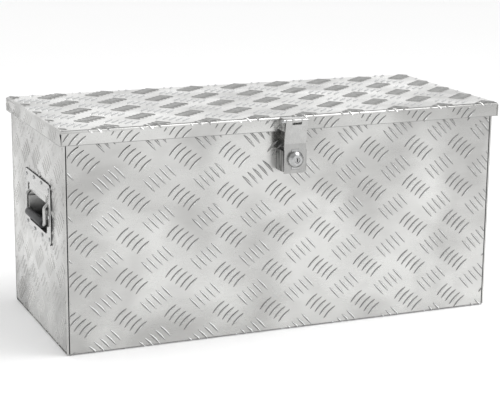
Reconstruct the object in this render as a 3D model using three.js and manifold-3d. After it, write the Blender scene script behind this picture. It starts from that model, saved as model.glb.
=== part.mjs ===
// An aluminium tread-plate storage box: a folded sheet body, a hinged lid, a lockable hasp
// on the front and a dished drop handle on each end.
//
// Millimetres. The origin is the centre of the box's footprint, +X runs along its length,
// the front faces -Y and +Z is up.

import * as THREE from 'three';
import { mergeVertices } from 'three/addons/utils/BufferGeometryUtils.js';
import Module from 'manifold-3d';

const wasm = await Module();
wasm.setup();

// ---------------------------------------------------------------- driving dimensions

// Overall
const lidLength = 765;
const lidDepth = 335;
const overallHeight = 358;

// Sheet metal
const sheet = 2;
const bendRadius = 3.5;
const bendSteps = 4;
const gap = 0.3;

// Lid and body
const lidSkirtHeight = 23;
const lidOverhangEnds = 6.5;
const lidOverhangSides = 7.5;
const rimLip = 15;
const endFlange = 18;
const sealWidth = 10;
const sealThickness = 5.4;
const sealInset = 2.5;

// Piano hinge
const hingeInset = 26;
const hingeLeaf = 1;
const hingeBodyLeafHeight = 24;
const hingeLidLeafHeight = 15;
const hingePinRadius = 1.1;
const hingeKnucklePitch = 70;
const hingeRivets = 5;

// Rivets
const rivetShank = 1.6;
const rivetHead = 3.4;
const rivetDome = 1.6;
const rivetTail = 2.5;
const rivetTailHeight = 1.2;
const rivetSides = 8;
const rivetShoulder = [0.72, 0.8];
const rivetHoleLength = 20;
const thinHoleLength = 8;

// Hasp and its bracket
const lockX = -2.8;
const haspWidth = 38;
const haspSheet = 2;
const haspBendRadius = 7.5;
const haspPinDrop = 3.6;
const haspSlope = 6.2;
const haspBendDrop = 36.7;
const haspLength = 85.1;
const haspKnuckle = 3.2;
const haspPinRadius = 1.6;
const haspPinHead = 3.1;
const haspPinHeadLength = 7;
const haspPinShoulder = [0.6, 0.7];
const haspCentreKnuckle = 16;
const haspWindow = 2.5;
const haspClearance = 0.5;
const haspRivetInset = 9;
const haspPinTail = 1.5;
const bracketSheet = 2;
const bracketFoot = 2.5;

// Keeper
const keeperWidth = 41.5;
const keeperHeight = 34.3;
const keeperDepth = 25;
const keeperSheet = 2;
const keeperSlot = 21;
const keeperSill = 3;
const keeperRise = 14.5;
const keeperRivetReach = 11;

// Lock
const lockDrop = 62.4;
const lockBaseRadius = 13.5;
const lockFaceRadius = 8.5;
const lockBaseHeight = 3;
const lockHeight = 9;
const lockShoulder = [0.93, 0.55];
const lockBossWidth = 13;
const lockBossHeight = 33.4;
const lockStemRadius = 6.5;
const lockStemLength = 9;
const lockNutAcross = 16.4;
const lockNutHeight = 4;
const plugRadius = 4.2;
const plugClearance = 0.35;
const plugTang = 5;
const plugRecess = 0.6;
const keyWidth = 1.8;
const keyHeight = 6;
const keyDepth = 9;
const camReach = 14;
const camWidth = 10;
const camThickness = 2;
const camScrewRadius = 1.5;
const camScrewHead = 3.4;
const camScrewLength = 5;
const camScrewHeadHeight = 2;
const camScrewBevel = 0.8;

// Handles
const handleHeight = 207.5;
const handleOffset = -10;
const plateLength = 152;
const plateHeight = 98;
const plateSheet = 1.5;
const plateCorner = 9;
const panLength = 108;
const panHeight = 51;
const panDepth = 24;
const panCorner = 7;
const panSheet = 1.5;
const panRise = -9.3;
const notchWidth = 13;
const notchHeight = 23;
const notchRise = 16.5;
const notchCorner = 2;
const handleRivetRow = 4;
const handleRivetReach = 67;
const handleRivetCorner = 9;
const handleRivetEdge = 6;
const handleRivetSide = 69;
const handleRivetSideDrop = 3.5;
const bailRodRadius = 3.1;
const bailHalfWidth = 55;
const bailDrop = 41;
const bailBend = 7;
const bailPivotRise = 22;
const bailClearance = 0.5;
const bailRecess = 4.3;
const bailStubBend = 3.5;
const bailDive = 15.5;
const bailSides = 8;
const bailSteps = 76;
const gripRadius = 6.6;
const gripLength = 92;
const gripWall = 0.35;
const gripEase = 1.5;

// ---------------------------------------------------------------- what follows from them

const bodyLength = lidLength - 2 * lidOverhangEnds;
const bodyDepth = lidDepth - 2 * lidOverhangSides;
const bodyTop = overallHeight - sheet - sealThickness - 2 * gap;
const skirtBottom = overallHeight - lidSkirtHeight;

const hingeRoom = lidOverhangSides - sheet;
const hingeKnuckle = hingeRoom / 2 - gap;
const hingeY = bodyDepth / 2 + hingeRoom / 2;
const hingeZ = skirtBottom;
const hingeLength = bodyLength - 2 * hingeInset;

const keeperFront = -(bodyDepth / 2 + gap + keeperDepth);
const haspInner = keeperFront - haspClearance;
const haspOuter = haspInner - haspSheet;
const haspPinY = haspOuter - haspSlope + haspKnuckle;
const haspPinZ = overallHeight - haspPinDrop;
const haspBendZ = haspPinZ - haspBendDrop;
const haspBottom = haspPinZ - haspLength;
const lockZ = haspPinZ - lockDrop;
const keeperTop = lockZ + keeperRise;
const keeperBottom = keeperTop - keeperHeight;
const skirtFront = -lidDepth / 2;

const plugHole = plugRadius + plugClearance;
const stemEnd = haspInner + lockStemLength;
const camNear = stemEnd + gap;

const plateBack = bodyLength / 2 + gap;
const plateFace = plateBack + plateSheet;
const bailX = plateFace + bailRodRadius + bailClearance;
const bailZ = handleHeight + bailPivotRise;
const bailInward = bailX - (plateFace - bailRecess);
const bailEnd = bailHalfWidth + notchWidth / 2 + panSheet - 0.1;

// How far a cutting tool runs past the metal that it cuts.
const past = 10;

// ---------------------------------------------------------------- materials

const aluminium = () => new THREE.MeshStandardMaterial({
  color: 0xcfd1d2, roughness: 0.34, metalness: 1,
});
const steel = () => new THREE.MeshStandardMaterial({
  color: 0xb9bab8, roughness: 0.22, metalness: 1,
});
const rivetMetal = () => new THREE.MeshStandardMaterial({
  color: 0xa9aaa8, roughness: 0.3, metalness: 1,
});
const rubber = () => new THREE.MeshStandardMaterial({
  color: 0x2b2c2c, roughness: 0.75, metalness: 0,
});

// ---------------------------------------------------------------- geometry helpers

/** Turns a closed three.js geometry into a solid that can be joined and cut. */
function solid(geometry) {
  const bare = geometry.clone();
  bare.deleteAttribute('normal');
  bare.deleteAttribute('uv');
  const merged = mergeVertices(bare);
  return new wasm.Manifold(new wasm.Mesh({
    numProp: 3,
    vertProperties: merged.attributes.position.array,
    triVerts: new Uint32Array(merged.index.array),
  }));
}

/** Turns a solid back into a three.js geometry. */
function geometryOf(body) {
  const mesh = body.getMesh();
  const geometry = new THREE.BufferGeometry();
  geometry.setAttribute('position', new THREE.BufferAttribute(mesh.vertProperties, 3));
  geometry.setIndex(new THREE.BufferAttribute(mesh.triVerts, 1));
  geometry.computeVertexNormals();
  return geometry;
}

const join = (first, ...others) => others.reduce((sum, next) => sum.add(next), first);
const cut = (first, ...others) => others.reduce((rest, next) => rest.subtract(next), first);

/** A box between its lowest and highest corner. */
function block(low, high) {
  const [x, y, z] = high.map((value, i) => value - low[i]);
  const geometry = new THREE.BoxGeometry(x, y, z);
  geometry.translate(low[0] + x / 2, low[1] + y / 2, low[2] + z / 2);
  return solid(geometry);
}

/** Axes of a drawing plane: across the drawing, up the drawing and along the extrusion. */
const planes = {
  x: [[0, 1, 0], [0, 0, 1], [1, 0, 0]],
  y: [[1, 0, 0], [0, 0, 1], [0, -1, 0]],
  z: [[1, 0, 0], [0, 1, 0], [0, 0, 1]],
};

/** Extrudes a shape along X, Y or Z between two positions on that axis. */
function prism(shape, axis, low, high) {
  const geometry = new THREE.ExtrudeGeometry(shape, {
    depth: high - low, bevelEnabled: false, curveSegments: bendSteps,
  });
  const [across, up, along] = planes[axis].map((v) => new THREE.Vector3(...v));
  const start = axis === 'y' ? high : low;
  const place = new THREE.Matrix4().makeBasis(across, up, along);
  place.setPosition(along.clone().multiplyScalar(axis === 'y' ? -start : start));
  geometry.applyMatrix4(place);
  return solid(geometry);
}

/** A round bar along X, Y or Z, centred on a point. */
function rod(axis, radius, length, centre, sides) {
  const geometry = new THREE.CylinderGeometry(radius, radius, length, sides);
  if (axis === 'x') geometry.rotateZ(Math.PI / 2);
  if (axis === 'z') geometry.rotateX(Math.PI / 2);
  geometry.translate(...centre);
  return solid(geometry);
}

/** Turns a profile of [radius, height] points about +Z. */
function turned(profile, sides) {
  const points = profile.map(([radius, height]) => new THREE.Vector2(radius, height));
  const geometry = new THREE.LatheGeometry(points, sides);
  geometry.rotateX(Math.PI / 2);
  return geometry;
}

/** A rectangle with round corners, centred on a point. */
function roundedRectangle(width, height, radius, centreX = 0, centreY = 0) {
  const x = width / 2 - radius;
  const y = height / 2 - radius;
  const shape = new THREE.Shape();
  shape.absarc(centreX + x, centreY - y, radius, -Math.PI / 2, 0);
  shape.absarc(centreX + x, centreY + y, radius, 0, Math.PI / 2);
  shape.absarc(centreX - x, centreY + y, radius, Math.PI / 2, Math.PI);
  shape.absarc(centreX - x, centreY - y, radius, Math.PI, 1.5 * Math.PI);
  shape.closePath();
  return shape;
}

/**
 * The cross-section of a bent sheet. The points follow its outer face, with the metal on
 * the left of the way they run, and every inner point becomes a bend.
 */
function bentSheet(points, thickness, radius = bendRadius) {
  const path = points.map(([u, v]) => new THREE.Vector2(u, v));
  const way = (i) => path[i + 1].clone().sub(path[i]).normalize();
  const left = (v) => new THREE.Vector2(-v.y, v.x);
  const side = (offset) => {
    const line = [path[0].clone().addScaledVector(left(way(0)), offset)];
    for (let i = 1; i < path.length - 1; i += 1) {
      const before = way(i - 1);
      const after = way(i);
      const turn = Math.atan2(before.cross(after), before.dot(after));
      const turnsLeft = turn > 0;
      const faceRadius = turnsLeft ? radius : radius - thickness;
      const reach = faceRadius * Math.tan(Math.abs(turn) / 2);
      const sign = turnsLeft ? 1 : -1;
      const centre = path[i].clone().addScaledVector(before, -reach)
        .addScaledVector(left(before), sign * faceRadius);
      const arm = faceRadius - sign * offset;
      const from = left(before).multiplyScalar(-sign * arm);
      for (let step = 0; step <= bendSteps; step += 1) {
        const angle = (turn * step) / bendSteps;
        line.push(from.clone().rotateAround(new THREE.Vector2(), angle).add(centre));
      }
    }
    const last = path.length - 1;
    line.push(path[last].clone().addScaledVector(left(way(last - 1)), offset));
    return line;
  };
  return new THREE.Shape([...side(0), ...side(thickness).reverse()]);
}

/** A geometry turned half round about Z, from the left end to the right one. */
const atOtherEnd = (geometry) => geometry.clone().rotateZ(Math.PI);

/** Turns a piece made along +Z so that it runs outwards along an axis, at a point. */
function aimed(geometry, direction, position) {
  const turn = new THREE.Quaternion().setFromUnitVectors(
    new THREE.Vector3(0, 0, 1),
    new THREE.Vector3(...direction),
  );
  return geometry.clone().applyQuaternion(turn).translate(...position);
}

/**
 * A set rivet along +Z. Its dome rests on z = 0 and its tail is set behind the metal that
 * it holds, whose whole thickness is the grip.
 */
function rivetGeometry(grip) {
  const behind = -(grip + gap);
  return turned([
    [0, behind - rivetTailHeight],
    [rivetTail, behind - rivetTailHeight],
    [rivetTail, behind],
    [rivetShank, behind],
    [rivetShank, 0],
    [rivetHead, 0],
    [rivetHead * rivetShoulder[0], rivetDome * rivetShoulder[1]],
    [0, rivetDome],
  ], rivetSides);
}

/** The hole that a rivet passes through, along an axis. */
const rivetHole = (axis, centre, length = rivetHoleLength) =>
  rod(axis, rivetShank + gap, length, centre, rivetSides);

// ---------------------------------------------------------------- scene graph

const box = new THREE.Group();

// The hasp, the keeper and the lock are drawn on their own centre line.
const frontHardware = new THREE.Group();
frontHardware.position.x = lockX;
box.add(frontHardware);

function piece(name, geometry, material, parent = box) {
  const mesh = new THREE.Mesh(geometry, material);
  mesh.name = name;
  parent.add(mesh);
}

const pieceOf = (name, body, material) => piece(name, geometryOf(body), material);
const frontPiece = (name, geometry, material) => piece(name, geometry, material, frontHardware);
const frontPieceOf = (name, body, material) => frontPiece(name, geometryOf(body), material);

/** Evenly spaced positions from -reach to +reach. */
function spread(count, reach) {
  return Array.from({ length: count }, (_, i) => -reach + (2 * reach * i) / (count - 1));
}

// Rivet places, shared by the pieces that the rivets pass through.
const hingeRivetXs = spread(hingeRivets, hingeLength / 2 - hingeKnucklePitch / 2);
const hingeBodyRivetZ = hingeZ - hingeBodyLeafHeight / 2 - hingeKnuckle;
const hingeLidRivetZ = hingeZ + (hingeKnuckle + hingeLidLeafHeight) / 2;
const haspRivetXs = [-1, 1].map((sign) => sign * (haspWidth / 2 - haspRivetInset));
const keeperRivetZs = [-1, 1].map((sign) =>
  keeperBottom + keeperHeight / 2 + sign * keeperRivetReach);
const bracketRivetZ = skirtBottom + lidSkirtHeight / 2;
const handleRivetSpots = [
  ...[1, -1].flatMap((sign) => spread(handleRivetRow, handleRivetReach).map((y, i, row) => {
    const atCorner = i === 0 || i === row.length - 1;
    return [y, sign * (plateHeight / 2 - (atCorner ? handleRivetCorner : handleRivetEdge))];
  })),
  ...[-1, 1].map((sign) => [sign * handleRivetSide, -handleRivetSideDrop]),
];

/**
 * The handle's dish along X, with a notch above each upper corner for the bail's arms. Its
 * outline is grown by a margin on every side.
 */
function dish(offset, margin, low, high) {
  const opening = roundedRectangle(panLength + 2 * margin, panHeight + 2 * margin,
    panCorner + margin, offset, handleHeight + panRise);
  const notches = [-1, 1].map((side) => roundedRectangle(notchWidth + 2 * margin,
    notchHeight + 2 * margin, notchCorner + margin, offset + side * bailHalfWidth,
    handleHeight + notchRise));
  const [first, ...others] = [opening, ...notches].map((shape) => prism(shape, 'x', low, high));
  return join(first, ...others);
}

// ---------------------------------------------------------------- body

/** Front, bottom and back in one folded sheet, with a lip turned in along both top edges. */
function bodyWrap() {
  const half = bodyDepth / 2;
  const section = bentSheet([
    [rimLip - half, bodyTop],
    [-half, bodyTop],
    [-half, 0],
    [half, 0],
    [half, bodyTop],
    [half - rimLip, bodyTop],
  ], sheet);
  const wrap = prism(section, 'x', -bodyLength / 2, bodyLength / 2);
  const hingeHoles = hingeRivetXs.map((x) => rivetHole('y', [x, half, hingeBodyRivetZ]));
  const keeperHoles = keeperRivetZs.map((z) => rivetHole('y', [lockX, -half, z]));
  return cut(wrap, ...hingeHoles, ...keeperHoles);
}

/** An end: a flat panel with flanges turned in on all four sides, and a handle's cutout. */
function endPanel(offset) {
  const outside = -bodyLength / 2;
  const half = bodyDepth / 2 - sheet - gap;
  const bottom = sheet + gap;
  const top = bodyTop - bendRadius;
  const lipHalf = bodyDepth / 2 - rimLip - gap;
  const inner = outside + endFlange;
  const walls = bentSheet([[inner, half], [outside, half], [outside, -half], [inner, -half]],
    sheet);
  const upperLip = bentSheet([
    [outside + rimLip, bodyTop], [outside, bodyTop], [outside, bodyTop - endFlange],
  ], sheet);
  const lowerLip = bentSheet([
    [outside, bottom + endFlange], [outside, bottom], [inner, bottom],
  ], sheet);
  const panel = join(
    prism(walls, 'z', bottom + bendRadius, top),
    prism(upperLip, 'y', -lipHalf, lipHalf),
    prism(lowerLip, 'y', bendRadius - half, half - bendRadius),
  );
  const holes = handleRivetSpots.map(([y, z]) =>
    rivetHole('x', [outside, y + offset, z + handleHeight]));
  return cut(panel, dish(offset, panSheet + gap, outside - past, outside + past), ...holes);
}

pieceOf('body_wrap', bodyWrap(), aluminium());
pieceOf('left_end_panel', endPanel(handleOffset), aluminium());
piece('right_end_panel', atOtherEnd(geometryOf(endPanel(-handleOffset))), aluminium());

// ---------------------------------------------------------------- lid

/** The lid: a sheet folded down on four sides, with its corners closed. */
function lidShell() {
  const [x, y] = [lidLength / 2, lidDepth / 2];
  const cap = (halfWidth, top, low, radius) => {
    const shape = new THREE.Shape();
    shape.moveTo(-halfWidth, low);
    shape.lineTo(halfWidth, low);
    shape.absarc(halfWidth - radius, top - radius, radius, 0, Math.PI / 2);
    shape.absarc(radius - halfWidth, top - radius, radius, Math.PI / 2, Math.PI);
    shape.closePath();
    return shape;
  };
  const rounded = (inset, low) => {
    const radius = bendRadius - inset;
    const top = overallHeight - inset;
    const along = prism(cap(y - inset, top, low, radius), 'x', inset - x, x - inset);
    const across = prism(cap(x - inset, top, low, radius), 'y', inset - y, y - inset);
    return along.intersect(across);
  };
  const hingeHoles = hingeRivetXs.map((place) => rivetHole('y', [place, y, hingeLidRivetZ]));
  const bracketHoles = haspRivetXs.map((place) =>
    rivetHole('y', [lockX + place, -y, bracketRivetZ]));
  return cut(
    rounded(0, skirtBottom),
    rounded(sheet, skirtBottom - sheet),
    ...hingeHoles,
    ...bracketHoles,
  );
}

/** The foam ring inside the lid that lands on the body's rim. */
function lidSeal() {
  const length = bodyLength - 2 * sealInset;
  const depth = bodyDepth - 2 * sealInset;
  const ring = roundedRectangle(length, depth, 2 * sealWidth);
  ring.holes.push(roundedRectangle(length - 2 * sealWidth, depth - 2 * sealWidth, sealWidth));
  return prism(ring, 'z', bodyTop + gap, bodyTop + gap + sealThickness);
}

pieceOf('lid_shell', lidShell(), aluminium());
pieceOf('lid_seal', lidSeal(), rubber());

// ---------------------------------------------------------------- piano hinge

const knuckleCount = 2 * Math.floor(hingeLength / (2 * hingeKnucklePitch)) + 1;
const knuckleStep = hingeLength / knuckleCount;

/** One hinge leaf. Even knuckles belong to the body, odd ones to the lid. */
function hingeHalf(forLid) {
  const up = forLid ? 1 : -1;
  const face = up * (hingeRoom / 2 - gap);
  const [near, far] = [face, face - up * hingeLeaf].sort((a, b) => a - b);
  const height = forLid ? hingeLidLeafHeight : hingeBodyLeafHeight;
  const between = (from, to) => [hingeZ + up * from, hingeZ + up * to].sort((a, b) => a - b);
  const [low, high] = between(hingeKnuckle + gap, height);
  const half = hingeLength / 2;
  const parts = [block([-half, hingeY + near, low], [half, hingeY + far, high])];
  const [tabLow, tabHigh] = between(0, hingeKnuckle + 1);
  for (let i = forLid ? 1 : 0; i < knuckleCount; i += 2) {
    const from = -half + i * knuckleStep + (i > 0 ? gap : 0);
    const to = -half + (i + 1) * knuckleStep - (i < knuckleCount - 1 ? gap : 0);
    parts.push(block([from, hingeY + near, tabLow], [to, hingeY + far, tabHigh]));
    parts.push(rod('x', hingeKnuckle, to - from, [(from + to) / 2, hingeY, hingeZ], 12));
  }
  const bore = rod('x', hingePinRadius + gap, hingeLength + past, [0, hingeY, hingeZ], 8);
  const rivetZ = forLid ? hingeLidRivetZ : hingeBodyRivetZ;
  const holes = hingeRivetXs.map((x) => rivetHole('y', [x, hingeY + face, rivetZ], thinHoleLength));
  return cut(join(...parts), bore, ...holes);
}

pieceOf('hinge_body_leaf', hingeHalf(false), steel());
pieceOf('hinge_lid_leaf', hingeHalf(true), steel());
pieceOf('hinge_pin', rod('x', hingePinRadius, hingeLength, [0, hingeY, hingeZ], 8), steel());

const hingeRivet = rivetGeometry(hingeLeaf + sheet + 2 * gap);
hingeRivetXs.forEach((x, i) => {
  const bodyFace = bodyDepth / 2 + gap + hingeLeaf + gap;
  const lidFace = lidDepth / 2 + gap;
  piece(`hinge_body_rivet_${i + 1}`,
    aimed(hingeRivet, [0, 1, 0], [x, bodyFace, hingeBodyRivetZ]), rivetMetal());
  piece(`hinge_lid_rivet_${i + 1}`,
    aimed(hingeRivet, [0, 1, 0], [x, lidFace, hingeLidRivetZ]), rivetMetal());
});

// ---------------------------------------------------------------- hasp

/** The hasp's bracket on the lid: a folded cover that carries the middle knuckle. */
function haspBracket() {
  const half = haspWidth / 2;
  const back = skirtFront - gap;
  const top = haspPinZ + haspKnuckle;
  const bottom = skirtBottom + bracketFoot;
  const front = haspPinY + haspKnuckle + gap;
  const cover = cut(
    block([-half, front, bottom], [half, back, top]),
    block([bracketSheet - half, front - 1, bottom - 1],
      [half - bracketSheet, back - bracketSheet, top - bracketSheet]),
  );
  const knuckleHalf = haspCentreKnuckle / 2;
  const knuckle = join(
    rod('x', haspKnuckle, haspCentreKnuckle, [0, haspPinY, haspPinZ], 18),
    block([-knuckleHalf, haspPinY, top - bracketSheet], [knuckleHalf, front + 1, top]),
  );
  const bore = rod('x', haspPinRadius + gap, haspWidth + past, [0, haspPinY, haspPinZ], 16);
  const holes = haspRivetXs.map((x) => rivetHole('y', [x, back, bracketRivetZ], thinHoleLength));
  return cut(join(cover, knuckle), bore, ...holes);
}

/** The hasp: a strap that slopes in, bends and hangs straight down over the keeper. */
function haspPlate() {
  const half = haspWidth / 2;
  const section = bentSheet([
    [haspPinY - haspKnuckle, haspPinZ],
    [haspOuter, haspBendZ],
    [haspOuter, haspBottom],
  ], haspSheet, haspBendRadius);
  const strap = prism(section, 'x', -half, half);
  const barrel = rod('x', haspKnuckle, haspWidth, [0, haspPinY, haspPinZ], 18);
  const bore = rod('x', haspPinRadius + gap, haspWidth + past, [0, haspPinY, haspPinZ], 16);
  const windowHalf = haspCentreKnuckle / 2 + gap;
  const windowBottom = haspPinZ - haspKnuckle - haspWindow;
  const window = block([-windowHalf, haspOuter - past, windowBottom],
    [windowHalf, haspOuter + past, haspPinZ + past]);
  const slotWidth = lockBossWidth / 2;
  const slotHeight = lockBossHeight / 2;
  const slot = block([-slotWidth, haspOuter - past, lockZ - slotHeight],
    [slotWidth, haspOuter + past, lockZ + slotHeight]);
  return cut(join(strap, barrel), bore, window, slot);
}

/** The hasp's pin along X, with its head on the left. */
function haspPin() {
  const half = haspWidth / 2;
  const neck = -half - gap;
  const shank = rod('x', haspPinRadius, haspWidth + 2 * gap + haspPinTail,
    [haspPinTail / 2, haspPinY, haspPinZ], 16);
  const head = aimed(turned([
    [0, 0],
    [haspPinHead, 0],
    [haspPinHead, haspPinHeadLength * haspPinShoulder[1]],
    [haspPinHead * haspPinShoulder[0], haspPinHeadLength],
    [0, haspPinHeadLength],
  ], 16), [-1, 0, 0], [neck, haspPinY, haspPinZ]);
  return join(shank, solid(head));
}

frontPieceOf('hasp_bracket', haspBracket(), steel());
frontPieceOf('hasp_plate', haspPlate(), steel());
frontPieceOf('hasp_pin', haspPin(), steel());

// The bracket's rivets have their tails in front, inside its cover, and their heads inside
// the lid.
const bracketRivet = rivetGeometry(bracketSheet + sheet + 2 * gap);
haspRivetXs.forEach((x, i) => {
  const face = skirtFront - gap - bracketSheet - gap;
  frontPiece(`bracket_rivet_${i + 1}`,
    aimed(bracketRivet, [0, -1, 0], [x, face, bracketRivetZ]), rivetMetal());
});

// ---------------------------------------------------------------- keeper

/** The keeper on the body: a folded box with a slot that opens forwards and upwards. */
function keeperBox() {
  const half = keeperWidth / 2;
  const back = -bodyDepth / 2 - gap;
  const wall = keeperSheet;
  const slotHalf = keeperSlot / 2;
  const shell = cut(
    block([-half, keeperFront, keeperBottom], [half, back, keeperTop]),
    block([wall - half, keeperFront + wall, keeperBottom + wall],
      [half - wall, back - wall, keeperTop - wall]),
    block([-slotHalf, keeperFront - 1, keeperBottom + keeperSill],
      [slotHalf, back - wall, keeperTop + 1]),
  );
  return cut(shell, ...keeperRivetZs.map((z) => rivetHole('y', [0, back, z], thinHoleLength)));
}

frontPieceOf('keeper_box', keeperBox(), steel());
const keeperRivet = rivetGeometry(keeperSheet + sheet + 2 * gap);
keeperRivetZs.forEach((z, i) => {
  const face = -bodyDepth / 2 - gap - keeperSheet - gap;
  frontPiece(`keeper_rivet_${i + 1}`, aimed(keeperRivet, [0, -1, 0], [0, face, z]), rivetMetal());
});

// ---------------------------------------------------------------- lock

const atLock = (profile, from, sides = 24) =>
  solid(aimed(turned(profile, sides), [0, -1, 0], [0, from, lockZ]));

/** The lock's barrel: a coned head on a boss that fills the hasp's slot, and a stem. */
function lockBarrel() {
  const seat = haspOuter - gap;
  const head = atLock([
    [0, 0],
    [lockBaseRadius, 0],
    [lockBaseRadius, lockBaseHeight],
    [lockBaseRadius * lockShoulder[0], lockHeight * lockShoulder[1]],
    [lockFaceRadius + 1, lockHeight - 1],
    [lockFaceRadius, lockHeight],
    [0, lockHeight],
  ], seat);
  const bossHalf = lockBossWidth / 2 - gap;
  const bossTall = lockBossHeight / 2 - gap;
  const boss = block([-bossHalf, seat - 0.2, lockZ - bossTall],
    [bossHalf, haspInner, lockZ + bossTall]);
  const stem = rod('y', lockStemRadius, lockStemLength + haspSheet,
    [0, stemEnd - (lockStemLength + haspSheet) / 2, lockZ], 24);
  const bore = rod('y', plugHole, 200, [0, haspOuter, lockZ], 20);
  return cut(join(head, boss, stem), bore);
}

/** The turning plug, with the key's slot in front and a square tang behind. */
function lockPlug() {
  const front = haspOuter - gap - lockHeight + plugRecess;
  const length = stemEnd - front;
  const core = rod('y', plugRadius, length, [0, front + length / 2, lockZ], 20);
  const tang = plugTang / 2;
  const tail = block([-tang, stemEnd - 1, lockZ - tang],
    [tang, camNear + camThickness, lockZ + tang]);
  const keyway = block([-keyWidth / 2, front - 1, lockZ - keyHeight / 2],
    [keyWidth / 2, front + keyDepth, lockZ + keyHeight / 2]);
  const screwHole = rod('y', camScrewRadius + gap, 12,
    [0, camNear + camThickness, lockZ], 12);
  return cut(join(core, tail), keyway, screwHole);
}

/** The cam that swings behind the keeper's front wall. It hangs down when unlocked. */
function lockCam() {
  const width = camWidth / 2;
  const outline = new THREE.Shape();
  outline.absarc(0, 0, width, 0, Math.PI);
  outline.lineTo(-width, -camReach + 2);
  outline.lineTo(2 - width, -camReach);
  outline.lineTo(width - 2, -camReach);
  outline.lineTo(width, 2 - camReach);
  outline.closePath();
  const plate = prism(outline, 'y', camNear, camNear + camThickness);
  const geometry = geometryOf(plate);
  geometry.translate(0, 0, lockZ);
  const square = plugTang / 2 + gap;
  return cut(solid(geometry), block([-square, camNear - 1, lockZ - square],
    [square, camNear + camThickness + 1, lockZ + square]));
}

/** The nut that holds the barrel, behind the hasp. */
function lockNut() {
  const near = haspInner + gap;
  const hex = new THREE.CylinderGeometry(lockNutAcross / Math.sqrt(3),
    lockNutAcross / Math.sqrt(3), lockNutHeight, 6);
  hex.translate(0, near + lockNutHeight / 2, lockZ);
  const bore = rod('y', lockStemRadius + gap, 20, [0, near, lockZ], 24);
  return cut(solid(hex), bore);
}

/** The screw that holds the cam on the plug. */
function camScrew() {
  const face = camNear + camThickness + gap;
  const profile = [
    [0, -camScrewLength],
    [camScrewRadius, -camScrewLength],
    [camScrewRadius, 0],
    [camScrewHead, 0],
    [camScrewHead, camScrewHeadHeight - camScrewBevel],
    [camScrewHead - camScrewBevel, camScrewHeadHeight],
    [0, camScrewHeadHeight],
  ];
  return solid(aimed(turned(profile, 16), [0, 1, 0], [0, face, lockZ]));
}

frontPieceOf('lock_barrel', lockBarrel(), steel());
frontPieceOf('lock_plug', lockPlug(), steel());
frontPieceOf('lock_cam', lockCam(), steel());
frontPieceOf('lock_nut', lockNut(), steel());
frontPieceOf('lock_cam_screw', camScrew(), rivetMetal());

// ---------------------------------------------------------------- handles

/** A handle's plate with its pressed pan, whose end walls hold the bail. */
function handlePlate(offset) {
  const z = handleHeight;
  const outline = roundedRectangle(plateLength, plateHeight, plateCorner, offset, z);
  const floor = panDepth - plateFace;
  const pressed = cut(
    join(
      prism(outline, 'x', -plateFace, -plateBack),
      dish(offset, panSheet, -plateFace, floor),
    ),
    dish(offset, 0, -plateFace - 1, floor - panSheet),
    ...handleRivetSpots.map(([y, height]) =>
      rivetHole('x', [-plateBack, y + offset, height + z], thinHoleLength)),
  );
  const bores = [-1, 1].map((side) => rod('y', bailRodRadius + gap, 2 * panSheet + gap,
    [bailRecess - plateFace, offset + side * (bailEnd - panSheet / 2), bailZ], 16));
  return cut(pressed, ...bores);
}

/**
 * The bail: a bent rod. Its arms hang in front of the plate, dive through the notches and
 * end in the pockets' side walls.
 */
function bailGeometry() {
  const [y, r, tight, inward] = [bailHalfWidth, bailBend, bailStubBend, bailInward];
  const middle = [inward / 2, -(tight + bailDive) / 2];
  const at = ([x, across, z]) => new THREE.Vector3(x, across, z);
  const run = (from, to) => new THREE.LineCurve3(at(from), at(to));
  const corner = (from, bend, to) => new THREE.QuadraticBezierCurve3(at(from), at(bend), at(to));
  const arm = (side) => [
    run([inward, side * bailEnd, 0], [inward, side * (y + tight), 0]),
    corner([inward, side * (y + tight), 0], [inward, side * y, 0], [inward, side * y, -tight]),
    corner([inward, side * y, -tight], [inward, side * y, (middle[1] - tight) / 2],
      [middle[0], side * y, middle[1]]),
    corner([middle[0], side * y, middle[1]], [0, side * y, (middle[1] - bailDive) / 2],
      [0, side * y, -bailDive]),
    run([0, side * y, -bailDive], [0, side * y, r - bailDrop]),
    corner([0, side * y, r - bailDrop], [0, side * y, -bailDrop],
      [0, side * (y - r), -bailDrop]),
  ];
  const reversed = (curve) => (curve.isLineCurve3
    ? new THREE.LineCurve3(curve.v2, curve.v1)
    : new THREE.QuadraticBezierCurve3(curve.v2, curve.v1, curve.v0));
  const path = new THREE.CurvePath();
  arm(-1).forEach((curve) => path.add(curve));
  path.add(run([0, r - y, -bailDrop], [0, y - r, -bailDrop]));
  arm(1).reverse().forEach((curve) => path.add(reversed(curve)));
  const section = new THREE.Shape();
  for (let i = 0; i < bailSides; i += 1) {
    const angle = (2 * Math.PI * (i + 0.5)) / bailSides;
    const [u, v] = [bailRodRadius * Math.cos(angle), bailRodRadius * Math.sin(angle)];
    if (i === 0) section.moveTo(u, v);
    else section.lineTo(u, v);
  }
  section.closePath();
  return new THREE.ExtrudeGeometry(section, {
    steps: bailSteps, bevelEnabled: false, extrudePath: path,
  });
}

/** The rubber sleeve on the bail, along Y. */
function gripGeometry() {
  const half = gripLength / 2;
  const bore = bailRodRadius + gripWall;
  const geometry = turned([
    [bore, -half],
    [gripRadius - 1, -half],
    [gripRadius, gripEase - half],
    [gripRadius, half - gripEase],
    [gripRadius - 1, half],
    [bore, half],
    [bore, -half],
  ], 20);
  geometry.rotateX(-Math.PI / 2);
  geometry.translate(0, 0, -bailDrop);
  return geometry;
}

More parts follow.
